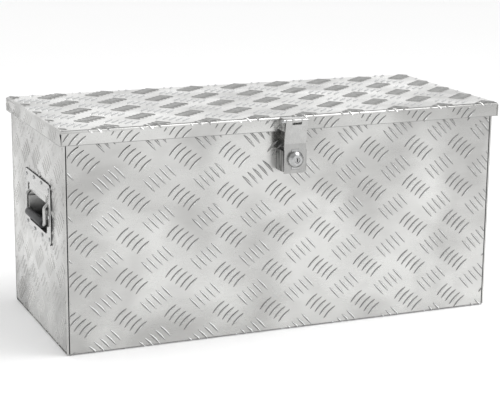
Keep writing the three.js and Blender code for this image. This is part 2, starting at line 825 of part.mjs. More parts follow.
/** One end's handle and rivets, drawn at the left end and turned round for the right. */
function addHandle(end) {
  const offset = end === 'left' ? handleOffset : -handleOffset;
  const place = (name, geometry, material) => {
    const placed = end === 'left' ? geometry : atOtherEnd(geometry);
    piece(`${end}_${name}`, placed, material);
  };
  const hung = (geometry) => geometry.translate(-bailX, offset, bailZ);
  place('handle_plate', geometryOf(handlePlate(offset)), steel());
  place('bail', hung(bailGeometry()), steel());
  place('grip', hung(gripGeometry()), rubber());
  const rivet = rivetGeometry(plateSheet + sheet + 2 * gap);
  handleRivetSpots.forEach(([y, z], i) => {
    const spot = [-plateFace - gap, y + offset, z + handleHeight];
    place(`handle_rivet_${i + 1}`, aimed(rivet, [-1, 0, 0], spot), rivetMetal());
  });
}

addHandle('left');
addHandle('right');

export default box;
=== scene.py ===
"""An aluminium tread-plate storage box with a hinged lid, a lockable hasp and two drop handles.

Everything is in metres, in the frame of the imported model: +X runs along the box's length, the
front faces -Y and +Z is up.
"""

import sys

import logging
import math
from dataclasses import dataclass
from enum import Enum
from typing import Callable, Iterable, Sequence

import bmesh
import bpy
from mathutils import Matrix, Vector


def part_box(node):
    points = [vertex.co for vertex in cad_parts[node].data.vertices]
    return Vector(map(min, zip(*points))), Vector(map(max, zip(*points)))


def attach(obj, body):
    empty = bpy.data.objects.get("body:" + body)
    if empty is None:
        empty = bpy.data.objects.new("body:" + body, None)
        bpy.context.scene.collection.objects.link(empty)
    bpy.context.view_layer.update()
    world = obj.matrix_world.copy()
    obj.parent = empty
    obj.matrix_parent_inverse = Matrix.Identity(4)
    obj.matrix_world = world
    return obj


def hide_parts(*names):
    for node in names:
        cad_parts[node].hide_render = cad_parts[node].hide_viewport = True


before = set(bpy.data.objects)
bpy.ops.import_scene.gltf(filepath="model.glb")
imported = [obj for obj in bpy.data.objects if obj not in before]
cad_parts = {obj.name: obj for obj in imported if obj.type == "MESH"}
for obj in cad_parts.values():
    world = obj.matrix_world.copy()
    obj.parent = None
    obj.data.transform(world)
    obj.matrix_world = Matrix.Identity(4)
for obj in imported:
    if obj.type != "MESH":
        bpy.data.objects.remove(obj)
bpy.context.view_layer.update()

LOG = logging.getLogger("tread_box")
MM = 0.001

# Edges that turn by more than these angles, in degrees, are broken and shaded sharp.
MACHINED_EDGE = 40.0
SHEET_EDGE = 50.0
FOLDED_EDGE = 60.0

Pair = tuple[float, float]
Triple = tuple[float, float, float]
Mapping = Callable[[float, float, float], Triple]


class Body(str, Enum):
    """The bodies that pieces ride on."""

    BOX = "box"
    LID = "lid"
    HASP = "hasp"
    CORE = "lock_core"
    LEFT_BAIL = "left_bail"
    RIGHT_BAIL = "right_bail"


class Slot(str, Enum):
    """The material slots of the record."""

    TREAD = "tread_sheet"
    HINGE = "hinge_steel"
    LOCK = "lock_steel"
    HANDLE = "handle_steel"
    CHROME = "lock_chrome"
    RIVETS = "rivets"
    GRIP = "grip_rubber"
    SEAL = "seal_foam"


class Wear(Enum):
    """How dark a painted shade the leading flanks of a sheet's bars get."""

    NONE = "none"
    LIGHT = "light"
    HEAVY = "heavy"


class End(Enum):
    """The two ends of the box."""

    LEFT = -1
    RIGHT = 1

    @property
    def word(self) -> str:
        """The end's name, as it stands in the names of the pieces."""
        return self.name.lower()


# ------------------------------------------------------------------------------- materials


class Finish:
    """A procedural material, put together node by node."""

    def __init__(self, name: str) -> None:
        """Starts the material with its shader.

        Args:
            name: the material's name.
        """
        self.material = bpy.data.materials.new(name)
        self.material.use_nodes = True
        self.nodes = self.material.node_tree.nodes
        self.links = self.material.node_tree.links
        self.shader = self.nodes["Principled BSDF"]
        coordinates = self.nodes.new("ShaderNodeTexCoord")
        self.place = coordinates.outputs["Object"]

    def set(self, **values: object) -> None:
        """Sets plain values on the shader's own sockets, by name with spaces as underscores."""
        for name, value in values.items():
            self.shader.inputs[name.replace("_", " ")].default_value = value

    def noise(
        self, scale: float, detail: float = 3.0, stretch: Triple = (1.0, 1.0, 1.0),
        turn: Triple = (0.0, 0.0, 0.0), distortion: float = 0.0,
    ) -> bpy.types.NodeSocket:
        """A noise over the piece, scaled per metre.

        Args:
            scale: how many cells there are in a metre.
            detail: how many octaves it has.
            stretch: the scale along each axis, where a small value draws the noise out.
            turn: how the noise is turned, in radians.
            distortion: how far the noise is bent by itself.

        Returns:
            The noise's value.
        """
        mapping = self.nodes.new("ShaderNodeMapping")
        mapping.inputs["Scale"].default_value = stretch
        mapping.inputs["Rotation"].default_value = turn
        self.links.new(self.place, mapping.inputs["Vector"])
        texture = self.nodes.new("ShaderNodeTexNoise")
        texture.inputs["Scale"].default_value = scale
        texture.inputs["Detail"].default_value = detail
        texture.inputs["Distortion"].default_value = distortion
        self.links.new(mapping.outputs["Vector"], texture.inputs["Vector"])
        return texture.outputs["Fac"]

    def spread(
        self, value: bpy.types.NodeSocket, low: float, high: float,
        start: float = 0.35, end: float = 0.65,
    ) -> bpy.types.NodeSocket:
        """Maps a noise to a range of values.

        Args:
            value: the noise.
            low: the result at and below start.
            high: the result at and above end.
            start: the noise value where the range starts.
            end: the noise value where the range ends.

        Returns:
            The mapped value.
        """
        ranged = self.nodes.new("ShaderNodeMapRange")
        ranged.inputs["From Min"].default_value = start
        ranged.inputs["From Max"].default_value = end
        ranged.inputs["To Min"].default_value = low
        ranged.inputs["To Max"].default_value = high
        self.links.new(value, ranged.inputs["Value"])
        return ranged.outputs["Result"]

    def height(self) -> bpy.types.NodeSocket:
        """The height above the floor, in metres."""
        node = self.nodes.new("ShaderNodeSeparateXYZ")
        self.links.new(self.place, node.inputs[0])
        return node.outputs["Z"]

    def times(
        self, first: bpy.types.NodeSocket, second: bpy.types.NodeSocket
    ) -> bpy.types.NodeSocket:
        """Multiplies two values."""
        node = self.nodes.new("ShaderNodeMath")
        node.operation = "MULTIPLY"
        self.links.new(first, node.inputs[0])
        self.links.new(second, node.inputs[1])
        return node.outputs["Value"]

    def sum(
        self, first: bpy.types.NodeSocket, second: bpy.types.NodeSocket
    ) -> bpy.types.NodeSocket:
        """Adds two values."""
        node = self.nodes.new("ShaderNodeMath")
        node.operation = "ADD"
        self.links.new(first, node.inputs[0])
        self.links.new(second, node.inputs[1])
        return node.outputs["Value"]

    def tint(
        self, value: bpy.types.NodeSocket, stops: Sequence[tuple[float, Triple]]
    ) -> bpy.types.NodeSocket:
        """Turns a value into a colour.

        Args:
            value: the value that picks the colour.
            stops: the places and their linear colours.

        Returns:
            The colour.
        """
        ramp = self.nodes.new("ShaderNodeValToRGB")
        elements = ramp.color_ramp.elements
        while len(elements) < len(stops):
            elements.new(0.5)
        for element, (position, colour) in zip(elements, stops):
            element.position = position
            element.color = (*colour, 1.0)
        self.links.new(value, ramp.inputs["Fac"])
        return ramp.outputs["Color"]

    def bump(
        self, height: bpy.types.NodeSocket, strength: float, distance: float,
        under: bpy.types.NodeSocket | None = None,
    ) -> bpy.types.NodeSocket:
        """A bump from a height.

        Args:
            height: the height, from 0 to 1.
            strength: how strongly it shows.
            distance: what a height of 1 stands for, in metres.
            under: another bump that this one lies on.

        Returns:
            The bumped normal.
        """
        node = self.nodes.new("ShaderNodeBump")
        node.inputs["Strength"].default_value = strength
        node.inputs["Distance"].default_value = distance
        self.links.new(height, node.inputs["Height"])
        if under is not None:
            self.links.new(under, node.inputs["Normal"])
        return node.outputs["Normal"]

    def join(
        self, colour: bpy.types.NodeSocket, roughness: bpy.types.NodeSocket,
        normal: bpy.types.NodeSocket,
    ) -> bpy.types.Material:
        """Ties the last values to the shader and returns the material."""
        self.links.new(colour, self.shader.inputs["Base Color"])
        self.links.new(roughness, self.shader.inputs["Roughness"])
        self.links.new(normal, self.shader.inputs["Normal"])
        return self.material


@dataclass(frozen=True)
class RolledAluminium:
    """Mill-finished sheet: a soft cloudy sheen, a fine rolled grain and light scuffs."""

    name: str = "rolled_aluminium"
    tone: float = 0.57
    cloud: float = 0.10
    roughness: Pair = (0.2, 0.36)
    waviness: float = 0.0012

    def make(self) -> bpy.types.Material:
        """Builds the material."""
        finish = Finish(self.name)
        finish.set(Metallic=1.0, IOR=1.45)
        clouds = finish.noise(7.0, 2.0, distortion=0.4)
        grain = finish.noise(900.0, 2.0, stretch=(0.04, 1.0, 1.0))
        scuffs = finish.noise(60.0, 4.0, stretch=(0.25, 1.0, 1.0), turn=(0.0, 0.3, 0.4))
        tone = finish.sum(
            finish.spread(clouds, -self.cloud, self.cloud),
            finish.spread(scuffs, self.tone - 0.015, self.tone + 0.02),
        )
        low, high = self.tone - 0.1, self.tone + 0.1
        colour = finish.tint(tone, [
            (low, (low, low * 0.995, low * 0.975)),
            (high, (high, high, high * 0.98)),
        ])
        rough = finish.sum(
            finish.spread(finish.noise(16.0, 3.0), *self.roughness),
            finish.spread(grain, -0.03, 0.04),
        )
        waves = finish.bump(finish.noise(6.0, 1.0), 1.0, self.waviness)
        dents = finish.bump(finish.noise(45.0, 2.0), 0.25, 0.0003, waves)
        return finish.join(colour, rough, finish.bump(grain, 0.12, 0.00004, dents))


@dataclass(frozen=True)
class BrushedSteel:
    """Satin sheet steel with a grain along one direction; fade can darken it below a height, as
    painted shade.
    """

    name: str
    tone: float = 0.55
    roughness: Pair = (0.24, 0.34)
    stretch: Triple = (1.0, 1.0, 0.03)
    streaks: float = 0.0
    fade: Pair = (-1.0, 0.0)

    def make(self) -> bpy.types.Material:
        """Builds the material."""
        finish = Finish(self.name)
        finish.set(Metallic=1.0, IOR=2.5)
        grain = finish.noise(1500.0, 3.0, stretch=self.stretch)
        smears = finish.noise(70.0, 3.0)
        tone = finish.sum(
            finish.spread(smears, self.tone - 0.03, self.tone + 0.03),
            finish.spread(finish.noise(300.0, 1.0, stretch=self.stretch),
                          -self.streaks, self.streaks, 0.42, 0.58),
        )
        # Painted shade: darker below the fade heights.
        tone = finish.times(tone, finish.spread(finish.height(), 0.06, 1.0, *self.fade))
        high = self.tone + self.streaks + 0.1
        colour = finish.tint(tone, [
            (0.0, (0.0, 0.0, 0.0)), (high, (high, high, high * 0.985)),
        ])
        rough = finish.sum(
            finish.spread(smears, *self.roughness), finish.spread(grain, -0.05, 0.06)
        )
        return finish.join(colour, rough, finish.bump(grain, 0.15, 0.00003))


@dataclass(frozen=True)
class PlatedMetal:
    """Bright plating with faint handling marks."""

    name: str
    tone: float = 0.72
    roughness: Pair = (0.06, 0.16)

    def make(self) -> bpy.types.Material:
        """Builds the material."""
        finish = Finish(self.name)
        finish.set(Metallic=1.0, IOR=2.8)
        smears = finish.noise(240.0, 3.0)
        fine = finish.noise(2500.0, 2.0)
        high = self.tone + 0.1
        colour = finish.tint(finish.spread(smears, self.tone - 0.05, self.tone + 0.03), [
            (0.0, (0.0, 0.0, 0.0)), (high, (high * 0.99, high, high)),
        ])
        rough = finish.spread(smears, *self.roughness)
        return finish.join(colour, rough, finish.bump(fine, 0.05, 0.00003))


@dataclass(frozen=True)
class DarkRubber:
    """Dark rubber or plastic with a fine tooth, rubbed a little paler in places."""

    name: str
    dark: Triple = (0.022, 0.023, 0.024)
    pale: Triple = (0.045, 0.046, 0.048)
    roughness: Pair = (0.42, 0.58)
    tooth: float = 1400.0
    depth: float = 0.00012

    def make(self) -> bpy.types.Material:
        """Builds the material."""
        finish = Finish(self.name)
        finish.set(Specular_IOR_Level=0.45, IOR=1.5)
        wear = finish.noise(45.0, 4.0)
        tooth = finish.noise(self.tooth, 2.0)
        colour = finish.tint(wear, [(0.35, self.dark), (0.7, self.pale)])
        rough = finish.spread(wear, *self.roughness)
        return finish.join(colour, rough, finish.bump(tooth, 0.35, self.depth))


@dataclass(frozen=True)
class StudioFloor:
    """The pale floor, matt and a little uneven."""

    name: str = "studio_floor"
    tone: float = 0.93
    lift: float = 0.15

    def make(self) -> bpy.types.Material:
        """Builds the material."""
        finish = Finish(self.name)
        finish.set(Specular_IOR_Level=0.0, Emission_Color=(1.0, 1.0, 1.0, 1.0),
                   Emission_Strength=self.lift)
        patches = finish.noise(1.5, 2.0)
        colour = finish.tint(patches, [
            (0.3, (self.tone - 0.005,) * 3), (0.7, (self.tone,) * 3),
        ])
        return finish.join(colour, finish.spread(patches, 0.9, 1.0),
                           finish.bump(finish.noise(300.0, 2.0), 0.02, 0.0002))


@dataclass(frozen=True)
class Palette:
    """Every finish on the box, by the slot that it belongs to."""

    tread: bpy.types.Material
    # flank is a painted highlight: a brighter, glossier copy of the sheet for the bars' trailing
    # flanks.
    flank: bpy.types.Material
    crease: bpy.types.Material
    worn: bpy.types.Material
    recess: bpy.types.Material
    keyway: bpy.types.Material
    keeper: bpy.types.Material
    strap: bpy.types.Material
    hinge: bpy.types.Material
    lock: bpy.types.Material
    handle: bpy.types.Material
    chrome: bpy.types.Material
    rivet: bpy.types.Material
    grip: bpy.types.Material
    seal: bpy.types.Material

    @classmethod
    def make(cls) -> "Palette":
        """Builds every material once."""
        return cls(
            tread=RolledAluminium().make(),
            # Painted highlight: the bars' trailing flanks.
            flank=PlatedMetal("tread_painted_highlight", 0.93, (0.12, 0.22)).make(),
            # Painted shade: darker copies of the sheet for the bars' leading flanks (the softer
            # one on the lid's top) and for dark lines along edges and folds.
            crease=BrushedSteel("tread_crease", 0.3, (0.3, 0.4)).make(),
            worn=BrushedSteel("tread_worn", 0.47, (0.3, 0.4)).make(),
            # Painted shade: the dish's inside, darker towards its bottom.
            recess=BrushedSteel("dish_inside_painted_shade", 0.6, (0.3, 0.4), fade=(0.184, 0.214)).make(),
            # Painted shade: near-black for the inside of the key slot.
            keyway=DarkRubber("keyway_painted_shade", (0.01, 0.01, 0.01), (0.02, 0.02, 0.02)).make(),
            keeper=BrushedSteel("keeper_satin", 0.2, (0.3, 0.4), streaks=0.14).make(),
            # Painted shade: a darker copy of the lock steel for the strap below its bend.
            strap=BrushedSteel("strap_painted_shade", 0.4).make(),
            hinge=BrushedSteel("hinge_satin", 0.5, stretch=(0.03, 1.0, 1.0)).make(),
            lock=BrushedSteel("lock_satin", 0.48).make(),
            handle=BrushedSteel("handle_satin", 0.55, (0.2, 0.3)).make(),
            chrome=PlatedMetal("lock_plating", 0.46, (0.08, 0.14)).make(),
            rivet=PlatedMetal("rivet_metal", 0.55, (0.18, 0.3)).make(),
            grip=DarkRubber("grip_rubber").make(),
            seal=DarkRubber("seal_foam", roughness=(0.85, 0.95), tooth=700.0,
                            depth=0.0004).make(),
        )

    def leading(self, wear: Wear) -> bpy.types.Material:
        """The painted shade of the bars' leading flanks; NONE leaves them in the sheet's own
        finish.
        """
        return {
            Wear.NONE: self.tread, Wear.LIGHT: self.worn, Wear.HEAVY: self.crease,
        }[wear]

    def of(self, slot: Slot) -> bpy.types.Material:
        """The material for a slot."""
        return {
            Slot.TREAD: self.tread, Slot.HINGE: self.hinge, Slot.LOCK: self.lock,
            Slot.HANDLE: self.handle, Slot.CHROME: self.chrome, Slot.RIVETS: self.rivet,
            Slot.GRIP: self.grip, Slot.SEAL: self.seal,
        }[slot]


# ------------------------------------------------------------------------------- mesh tools


def mesh_object(
    name: str, points: Sequence[Triple], faces: Sequence[Sequence[int]]
) -> bpy.types.Object:
    """Makes a piece from its points and faces, with every face turned outwards.

    Args:
        name: the piece's name.
        points: its corners, in metres.
        faces: the corners of each face, by index.

    Returns:
        The piece, linked to the scene.
    """
    mesh = bpy.data.meshes.new(name)
    mesh.from_pydata(points, [], faces)
    work = bmesh.new()
    work.from_mesh(mesh)
    bmesh.ops.recalc_face_normals(work, faces=work.faces)
    work.to_mesh(mesh)
    work.free()
    piece = bpy.data.objects.new(name, mesh)
    bpy.context.scene.collection.objects.link(piece)
    return piece


def settle(piece: bpy.types.Object) -> bpy.types.Object:
    """Turns what a piece's modifiers make of it into its own mesh."""
    bpy.context.view_layer.update()
    graph = bpy.context.evaluated_depsgraph_get()
    mesh = bpy.data.meshes.new_from_object(piece.evaluated_get(graph))
    piece.modifiers.clear()
    piece.data = mesh
    return piece


def shade(piece: bpy.types.Object, angle: float = 40.0) -> bpy.types.Object:
    """Shades a piece smooth, apart from its edges that are sharper than an angle in degrees."""
    mesh = piece.data
    mesh.polygons.foreach_set("use_smooth", [True] * len(mesh.polygons))
    mesh.set_sharp_from_angle(angle=math.radians(angle))
    mesh.update()
    return piece


def bevelled(
    piece: bpy.types.Object, width: float, angle: float = 35.0, segments: int = 2
) -> bpy.types.Object:
    """Breaks a piece's sharp edges.

    Args:
        piece: the piece.
        width: the bevel's width in metres.
        angle: the edges' least angle, in degrees.
        segments: how many faces the bevel has across it.

    Returns:
        The same piece, bevelled and shaded.
    """
    bevel = piece.modifiers.new("edges", "BEVEL")
    bevel.width = width
    bevel.segments = segments
    bevel.limit_method = "ANGLE"
    bevel.angle_limit = math.radians(angle)
    bevel.use_clamp_overlap = True
    return shade(settle(piece))


def carve(
    piece: bpy.types.Object, tool: bpy.types.Object, operation: str = "DIFFERENCE"
) -> bpy.types.Object:
    """Cuts, joins or crosses a piece with a tool, and takes the tool away.

    Args:
        piece: the piece to work on.
        tool: the other solid.
        operation: DIFFERENCE, UNION or INTERSECT.

    Returns:
        The worked piece.
    """
    boolean = piece.modifiers.new("carve", "BOOLEAN")
    boolean.operation = operation
    boolean.solver = "EXACT"
    boolean.object = tool
    settle(piece)
    bpy.data.objects.remove(tool)
    return piece


def cuboid(name: str, low: Triple, high: Triple) -> bpy.types.Object:
    """A box-shaped cutting tool between two corners."""
    points = [(x, y, z) for x in (low[0], high[0]) for y in (low[1], high[1])
              for z in (low[2], high[2])]
    faces = [(0, 1, 3, 2), (4, 6, 7, 5), (0, 4, 5, 1), (2, 3, 7, 6), (0, 2, 6, 4), (1, 5, 7, 3)]
    return mesh_object(name, points, faces)


def prism_x(name: str, section: Sequence[Pair], low: float, high: float) -> bpy.types.Object:
    """Extrudes a closed section of (y, z) points along X."""
    count = len(section)
    points = [(x, y, z) for x in (low, high) for y, z in section]
    faces: list[Sequence[int]] = [tuple(range(count)), tuple(range(2 * count - 1, count - 1, -1))]
    faces += [(i, (i + 1) % count, count + (i + 1) % count, count + i) for i in range(count)]
    return mesh_object(name, points, faces)


def bent_section(
    points: Sequence[Pair], thickness: float, radius: float, steps: int = 8
) -> list[Pair]:
    """The cross-section of a bent sheet, with its metal on the left of the way it runs.

    Args:
        points: the corners of its outer face.
        thickness: the sheet's thickness.
        radius: the bends' outer radius.
        steps: how many faces a bend has.

    Returns:
        The section's outline.
    """
    path = [Vector(point) for point in points]
    ways = [(b - a).normalized() for a, b in zip(path, path[1:])]

    def left(way: Vector) -> Vector:
        """The direction to the left of a way."""
        return Vector((-way.y, way.x))

    def side(offset: float) -> list[Pair]:
        """One face of the sheet, at an offset from the outer one."""
        line = [path[0] + left(ways[0]) * offset]
        for i in range(1, len(path) - 1):
            before, after = ways[i - 1], ways[i]
            turn = math.atan2(before.cross(after), before.dot(after))
            sign = 1 if turn > 0 else -1
            face_radius = radius if turn > 0 else radius - thickness
            reach = face_radius * math.tan(abs(turn) / 2)
            centre = path[i] - before * reach + left(before) * sign * face_radius
            arm = left(before) * -sign * (face_radius - sign * offset)
            for step in range(steps + 1):
                line.append(centre + Matrix.Rotation(turn * step / steps, 2) @ arm)
        line.append(path[-1] + left(ways[-1]) * offset)
        return [tuple(point) for point in line]

    return side(0.0) + side(thickness)[::-1]


def turned(
    name: str, profile: Sequence[Pair], axis: Triple, places: Sequence[Triple], sides: int = 32
) -> bpy.types.Object:
    """Turns a closed profile about an axis, once for each place, in one piece.

    Args:
        name: the piece's name.
        profile: (radius, height) points; a radius of 0 lies on the axis.
        axis: the direction that height runs in.
        places: where height 0 lies, for each copy.
        sides: how many faces there are round the axis.

    Returns:
        The piece.
    """
    turn = Vector((0.0, 0.0, 1.0)).rotation_difference(Vector(axis)).to_matrix()
    points: list[Triple] = []
    faces: list[Sequence[int]] = []
    for place in places:
        rings: list[list[int]] = []
        for radius, height in profile:
            ring = []
            for i in range(1 if radius == 0 else sides):
                angle = 2 * math.pi * i / sides
                local = Vector((radius * math.cos(angle), radius * math.sin(angle), height))
                ring.append(len(points))
                points.append(tuple(turn @ local + Vector(place)))
            rings.append(ring)
        closed = profile[0][0] != 0
        for first, second in zip(rings, rings[1:] + (rings[:1] if closed else [])):
            for i in range(sides):
                j = (i + 1) % sides
                corners = [first[i % len(first)], first[j % len(first)],
                           second[j % len(second)], second[i % len(second)]]
                face = list(dict.fromkeys(corners))
                if len(face) > 2:
                    faces.append(face)
    return mesh_object(name, points, faces)


def swept(
    name: str, path: Sequence[Vector], radius: float, across: Vector, sides: int = 20
) -> bpy.types.Object:
    """A round bar along a path, with domed ends.

    Args:
        name: the piece's name.
        path: the points of its centre line.
        radius: the bar's radius.
        across: a direction that the path never runs along.
        sides: how many faces there are round the bar.

    Returns:
        The piece.
    """
    ways = [(b - a).normalized() for a, b in zip(path, path[1:])]
    tangents = [ways[0]] + [(a + b).normalized() for a, b in zip(ways, ways[1:])] + [ways[-1]]
    shoulder = 0.12 * radius
    stations = [
        (path[0], tangents[0], radius * 0.7),
        (path[0] + tangents[0] * shoulder, tangents[0], radius * 0.93),
        (path[0] + tangents[0] * 3 * shoulder, tangents[0], radius),
        *[(point, tangent, radius) for point, tangent in list(zip(path, tangents))[1:-1]],
        (path[-1] - tangents[-1] * 3 * shoulder, tangents[-1], radius),
        (path[-1] - tangents[-1] * shoulder, tangents[-1], radius * 0.93),
        (path[-1], tangents[-1], radius * 0.7),
    ]
    points: list[Triple] = []
    faces: list[Sequence[int]] = []
    for centre, tangent, size in stations:
        side = (across - tangent * across.dot(tangent)).normalized()
        up = tangent.cross(side)
        for i in range(sides):
            angle = 2 * math.pi * i / sides
            points.append(tuple(centre + (side * math.cos(angle) + up * math.sin(angle)) * size))
    for ring in range(len(stations) - 1):
        for i in range(sides):
            j = (i + 1) % sides
            faces.append((ring * sides + i, ring * sides + j,
                          (ring + 1) * sides + j, (ring + 1) * sides + i))
    faces.append(tuple(range(sides)))
    faces.append(tuple(range(len(points) - sides, len(points))))
    return mesh_object(name, points, faces)


def paint_shade_band(
    piece: bpy.types.Object, height: float, unshaded_finish: bpy.types.Material,
    shade_finish: bpy.types.Material,
) -> None:
    """Gives a piece's lower edge, up to a height, a painted shade: a dark band for the shadow
    along that edge.

    Args:
        piece: the piece.
        height: how high the painted shade reaches, in metres.
        unshaded_finish: the finish above it.
        shade_finish: the painted shade below it.
    """
    work = bmesh.new()
    work.from_mesh(piece.data)
    bmesh.ops.bisect_plane(work, geom=work.verts[:] + work.edges[:] + work.faces[:],
                           plane_co=(0.0, 0.0, height), plane_no=(0.0, 0.0, 1.0), dist=1e-7)
    work.to_mesh(piece.data)
    work.free()
    piece.data.materials.append(unshaded_finish)
    piece.data.materials.append(shade_finish)
    for polygon in piece.data.polygons:
        polygon.material_index = int(polygon.center.z < height)


def from_node(name: str, node: str) -> bpy.types.Object:
    """A piece with a CAD node's shape, its flat faces made whole, ready to be worked on.

    Args:
        name: the piece's name.
        node: the CAD node whose shape it takes.

    Returns:
        The piece.
    """
    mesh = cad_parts[node].data.copy()
    mesh.materials.clear()
    work = bmesh.new()
    work.from_mesh(mesh)
    bmesh.ops.remove_doubles(work, verts=work.verts, dist=1e-6)
    bmesh.ops.dissolve_limit(work, angle_limit=math.radians(0.4), verts=work.verts,
                             edges=work.edges)
    bmesh.ops.recalc_face_normals(work, faces=work.faces)
    work.to_mesh(mesh)
    work.free()
    for attribute in [a.name for a in mesh.attributes if a.name == "custom_normal"]:
        mesh.attributes.remove(mesh.attributes[attribute])
    piece = bpy.data.objects.new(name, mesh)
    bpy.context.scene.collection.objects.link(piece)
    return piece


def dress(
    piece: bpy.types.Object, body: Body, slot: Slot, palette: Palette,
    stands_for: Iterable[str] = (),
) -> bpy.types.Object:
    """Gives a piece its material, its body and the nodes that it stands for, and logs it.

    Args:
        piece: the finished piece, in place.
        body: the body that it rides on.
        slot: the slot of its finish.
        palette: the finishes.
        stands_for: the CAD nodes that it hides.

    Returns:
        The piece.
    """
    if not piece.data.materials:
        piece.data.materials.append(palette.of(slot))
    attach(piece, body.value)
    nodes = list(stands_for)
    if nodes:
        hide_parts(*nodes)
    LOG.info("%s on %s, %d faces", piece.name, body.value, len(piece.data.polygons))
    return piece


def finish_node(node: str, slot: Slot, palette: Palette) -> None:
    """Gives a carried CAD node its material."""
    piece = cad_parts[node]
    piece.data.materials.clear()
    piece.data.materials.append(palette.of(slot))
    LOG.info("%s keeps its shape", node)


# ------------------------------------------------------------------------------- tread


@dataclass(frozen=True)
class Tread:
    """The raised five-bar pattern of one sheet, in the sheet's own unfolded plane."""

    anchor: Pair = (0.0, 0.0)
    pitch: Pair = (83.0 * MM, 65.6 * MM)
    lean: float = math.radians(-2.1)
    count: int = 5
    stagger: Pair = (8.6 * MM, 5.9 * MM)
    length: float = 30.0 * MM
    width: float = 4.8 * MM
    height: float = 1.1 * MM
    bow: float = 0.8 * MM
    foot: float = 0.3 * MM
    flank: float = 1.8 * MM
    # How dark a painted shade the leading flanks get.
    wear: Wear = Wear.HEAVY
    steps: int = 6
    rises_at_anchor: bool = True

    def bars(self, low: Pair, high: Pair) -> list[tuple[Vector, Vector]]:
        """The bars that touch a rectangle.

        Args:
            low: the rectangle's lowest corner.
            high: its highest corner.

        Returns:
            Each bar's centre and direction.
        """
        spin = Matrix.Rotation(self.lean, 2)
        reach = 2 + int(max(high[0] - low[0], high[1] - low[1]) / min(self.pitch))
        found = []
        for i in range(-2 * reach, 2 * reach + 1):
            for j in range(-2 * reach, 2 * reach + 1):
                if (i + j) % 2:
                    continue
                rising = (i % 2 == 0) == self.rises_at_anchor
                step = Vector((i * self.pitch[0] / 2, j * self.pitch[1] / 2))
                middle = Vector(self.anchor) + spin @ step
                angle = math.radians(45 if rising else -45)
                way = spin @ Vector((math.cos(angle), math.sin(angle)))
                right, up = self.stagger
                stack = spin @ Vector((right, -up if rising else up))
                for k in range(self.count):
                    centre = middle + stack * (k - (self.count - 1) / 2)
                    inside = all(
                        low[n] - self.length / 2 < centre[n] < high[n] + self.length / 2
                        for n in (0, 1)
                    )
                    if inside:
                        found.append((centre, way))
        return found

    def outline(self, centre: Vector, way: Vector, inset: float) -> list[Vector]:
        """One contour of a bar: a long lens, bowed a little, drawn in by an inset."""
        normal = Vector((-way.y, way.x))
        half = self.length / 2 - 1.5 * inset
        contour = []
        for side in (1, -1):
            for i in range(self.steps):
                along = -side * math.cos(math.pi * i / self.steps)
                wide = (self.width / 2 - inset) * (1 - along * along) ** 0.75
                bend = self.bow * (1 - along * along)
                contour.append(centre + way * along * half + normal * (side * wide + bend))
        return contour

    def build(self, name: str, low: Pair, high: Pair, mapping: Mapping,
              palette: Palette) -> bpy.types.Object:
        """Builds the bars of one sheet in one piece.

        Args:
            name: the piece's name.
            low: the lowest corner of the area, unfolded.
            high: its highest corner.
            mapping: turns an unfolded place and a height into a point.
            palette: the finishes. Each bar's leading flank, which faces -u, gets a painted shade,
                and its trailing flank gets a painted highlight.

        Returns:
            The piece.
        """
        layers = [(0.0, -0.3 * MM), (self.foot, 0.15 * MM), (self.flank, self.height * 0.88),
                  (self.flank + 0.3 * MM, self.height)]
        work = bmesh.new()
        for centre, way in self.bars(low, high):
            rings = []
            for inset, height in layers:
                contour = self.outline(centre, way, inset)
                rings.append([work.verts.new((point.x, point.y, height)) for point in contour])
            count = len(rings[0])
            for lower, upper in zip(rings, rings[1:]):
                for i in range(count):
                    j = (i + 1) % count
                    # Leading flanks get a painted shade, trailing flanks a painted highlight.
                    flank = work.faces.new((lower[i], lower[j], upper[j], upper[i]))
                    leading = (i < self.steps) == (way.y > 0)
                    flank.material_index = 2 if leading else 1
            work.faces.new(rings[0][::-1])
            work.faces.new(rings[-1])
        for n, (edge, sign) in enumerate([(low, -1), (high, 1)] * 2):
            axis = 0 if n < 2 else 1
            plane = Vector((edge[0], edge[1], 0.0))
            away = Vector((sign, 0.0, 0.0) if axis == 0 else (0.0, sign, 0.0))
            geometry = work.verts[:] + work.edges[:] + work.faces[:]
            result = bmesh.ops.bisect_plane(work, geom=geometry, plane_co=plane, plane_no=away,
                                            clear_outer=True, dist=1e-7)
            rims = [e for e in result["geom_cut"] if isinstance(e, bmesh.types.BMEdge)]
            bmesh.ops.edgeloop_fill(work, edges=rims)
        for vertex in work.verts:
            vertex.co = mapping(*vertex.co)
        bmesh.ops.recalc_face_normals(work, faces=work.faces)
        mesh = bpy.data.meshes.new(name)
        work.to_mesh(mesh)
        work.free()
        piece = bpy.data.objects.new(name, mesh)
        bpy.context.scene.collection.objects.link(piece)
        mesh.materials.append(palette.tread)
        mesh.materials.append(palette.flank)
        mesh.materials.append(palette.leading(self.wear))
        return shade(piece, 60.0)


@dataclass(frozen=True)
class Fold:
    """The outer face of a folded sheet, as a way from its first corner to its last."""

    corners: Sequence[Pair]
    radius: float

    def place(self, distance: float, height: float) -> Pair:
        """Where a point of the unfolded sheet lies.

        Args:
            distance: how far it is along the outer face.
            height: how far it stands off the face, to the right of the way.

        Returns:
            The point's (y, z).
        """
        left_over = distance
        path = [Vector(corner) for corner in self.corners]
        last = len(path) - 2
        for i, (start, end) in enumerate(zip(path, path[1:])):
            way = (end - start).normalized()
            off = Vector((way.y, -way.x))
            first = start if i == 0 else start + way * self.radius
            length = (end - first).length - (0 if i == last else self.radius)
            if left_over <= length or i == last:
                return tuple(first + way * left_over + off * height)
            left_over -= length
            arc = self.radius * math.pi / 2
            after = (path[i + 2] - end).normalized()
            if left_over < arc:
                centre = end - way * self.radius + after * self.radius
                angle = left_over / self.radius
                arm = off * math.cos(angle) + way * math.sin(angle)
                return tuple(centre + arm * (self.radius + height))
            left_over -= arc
        raise ValueError("the fold has no such place")


# ------------------------------------------------------------------------------- body


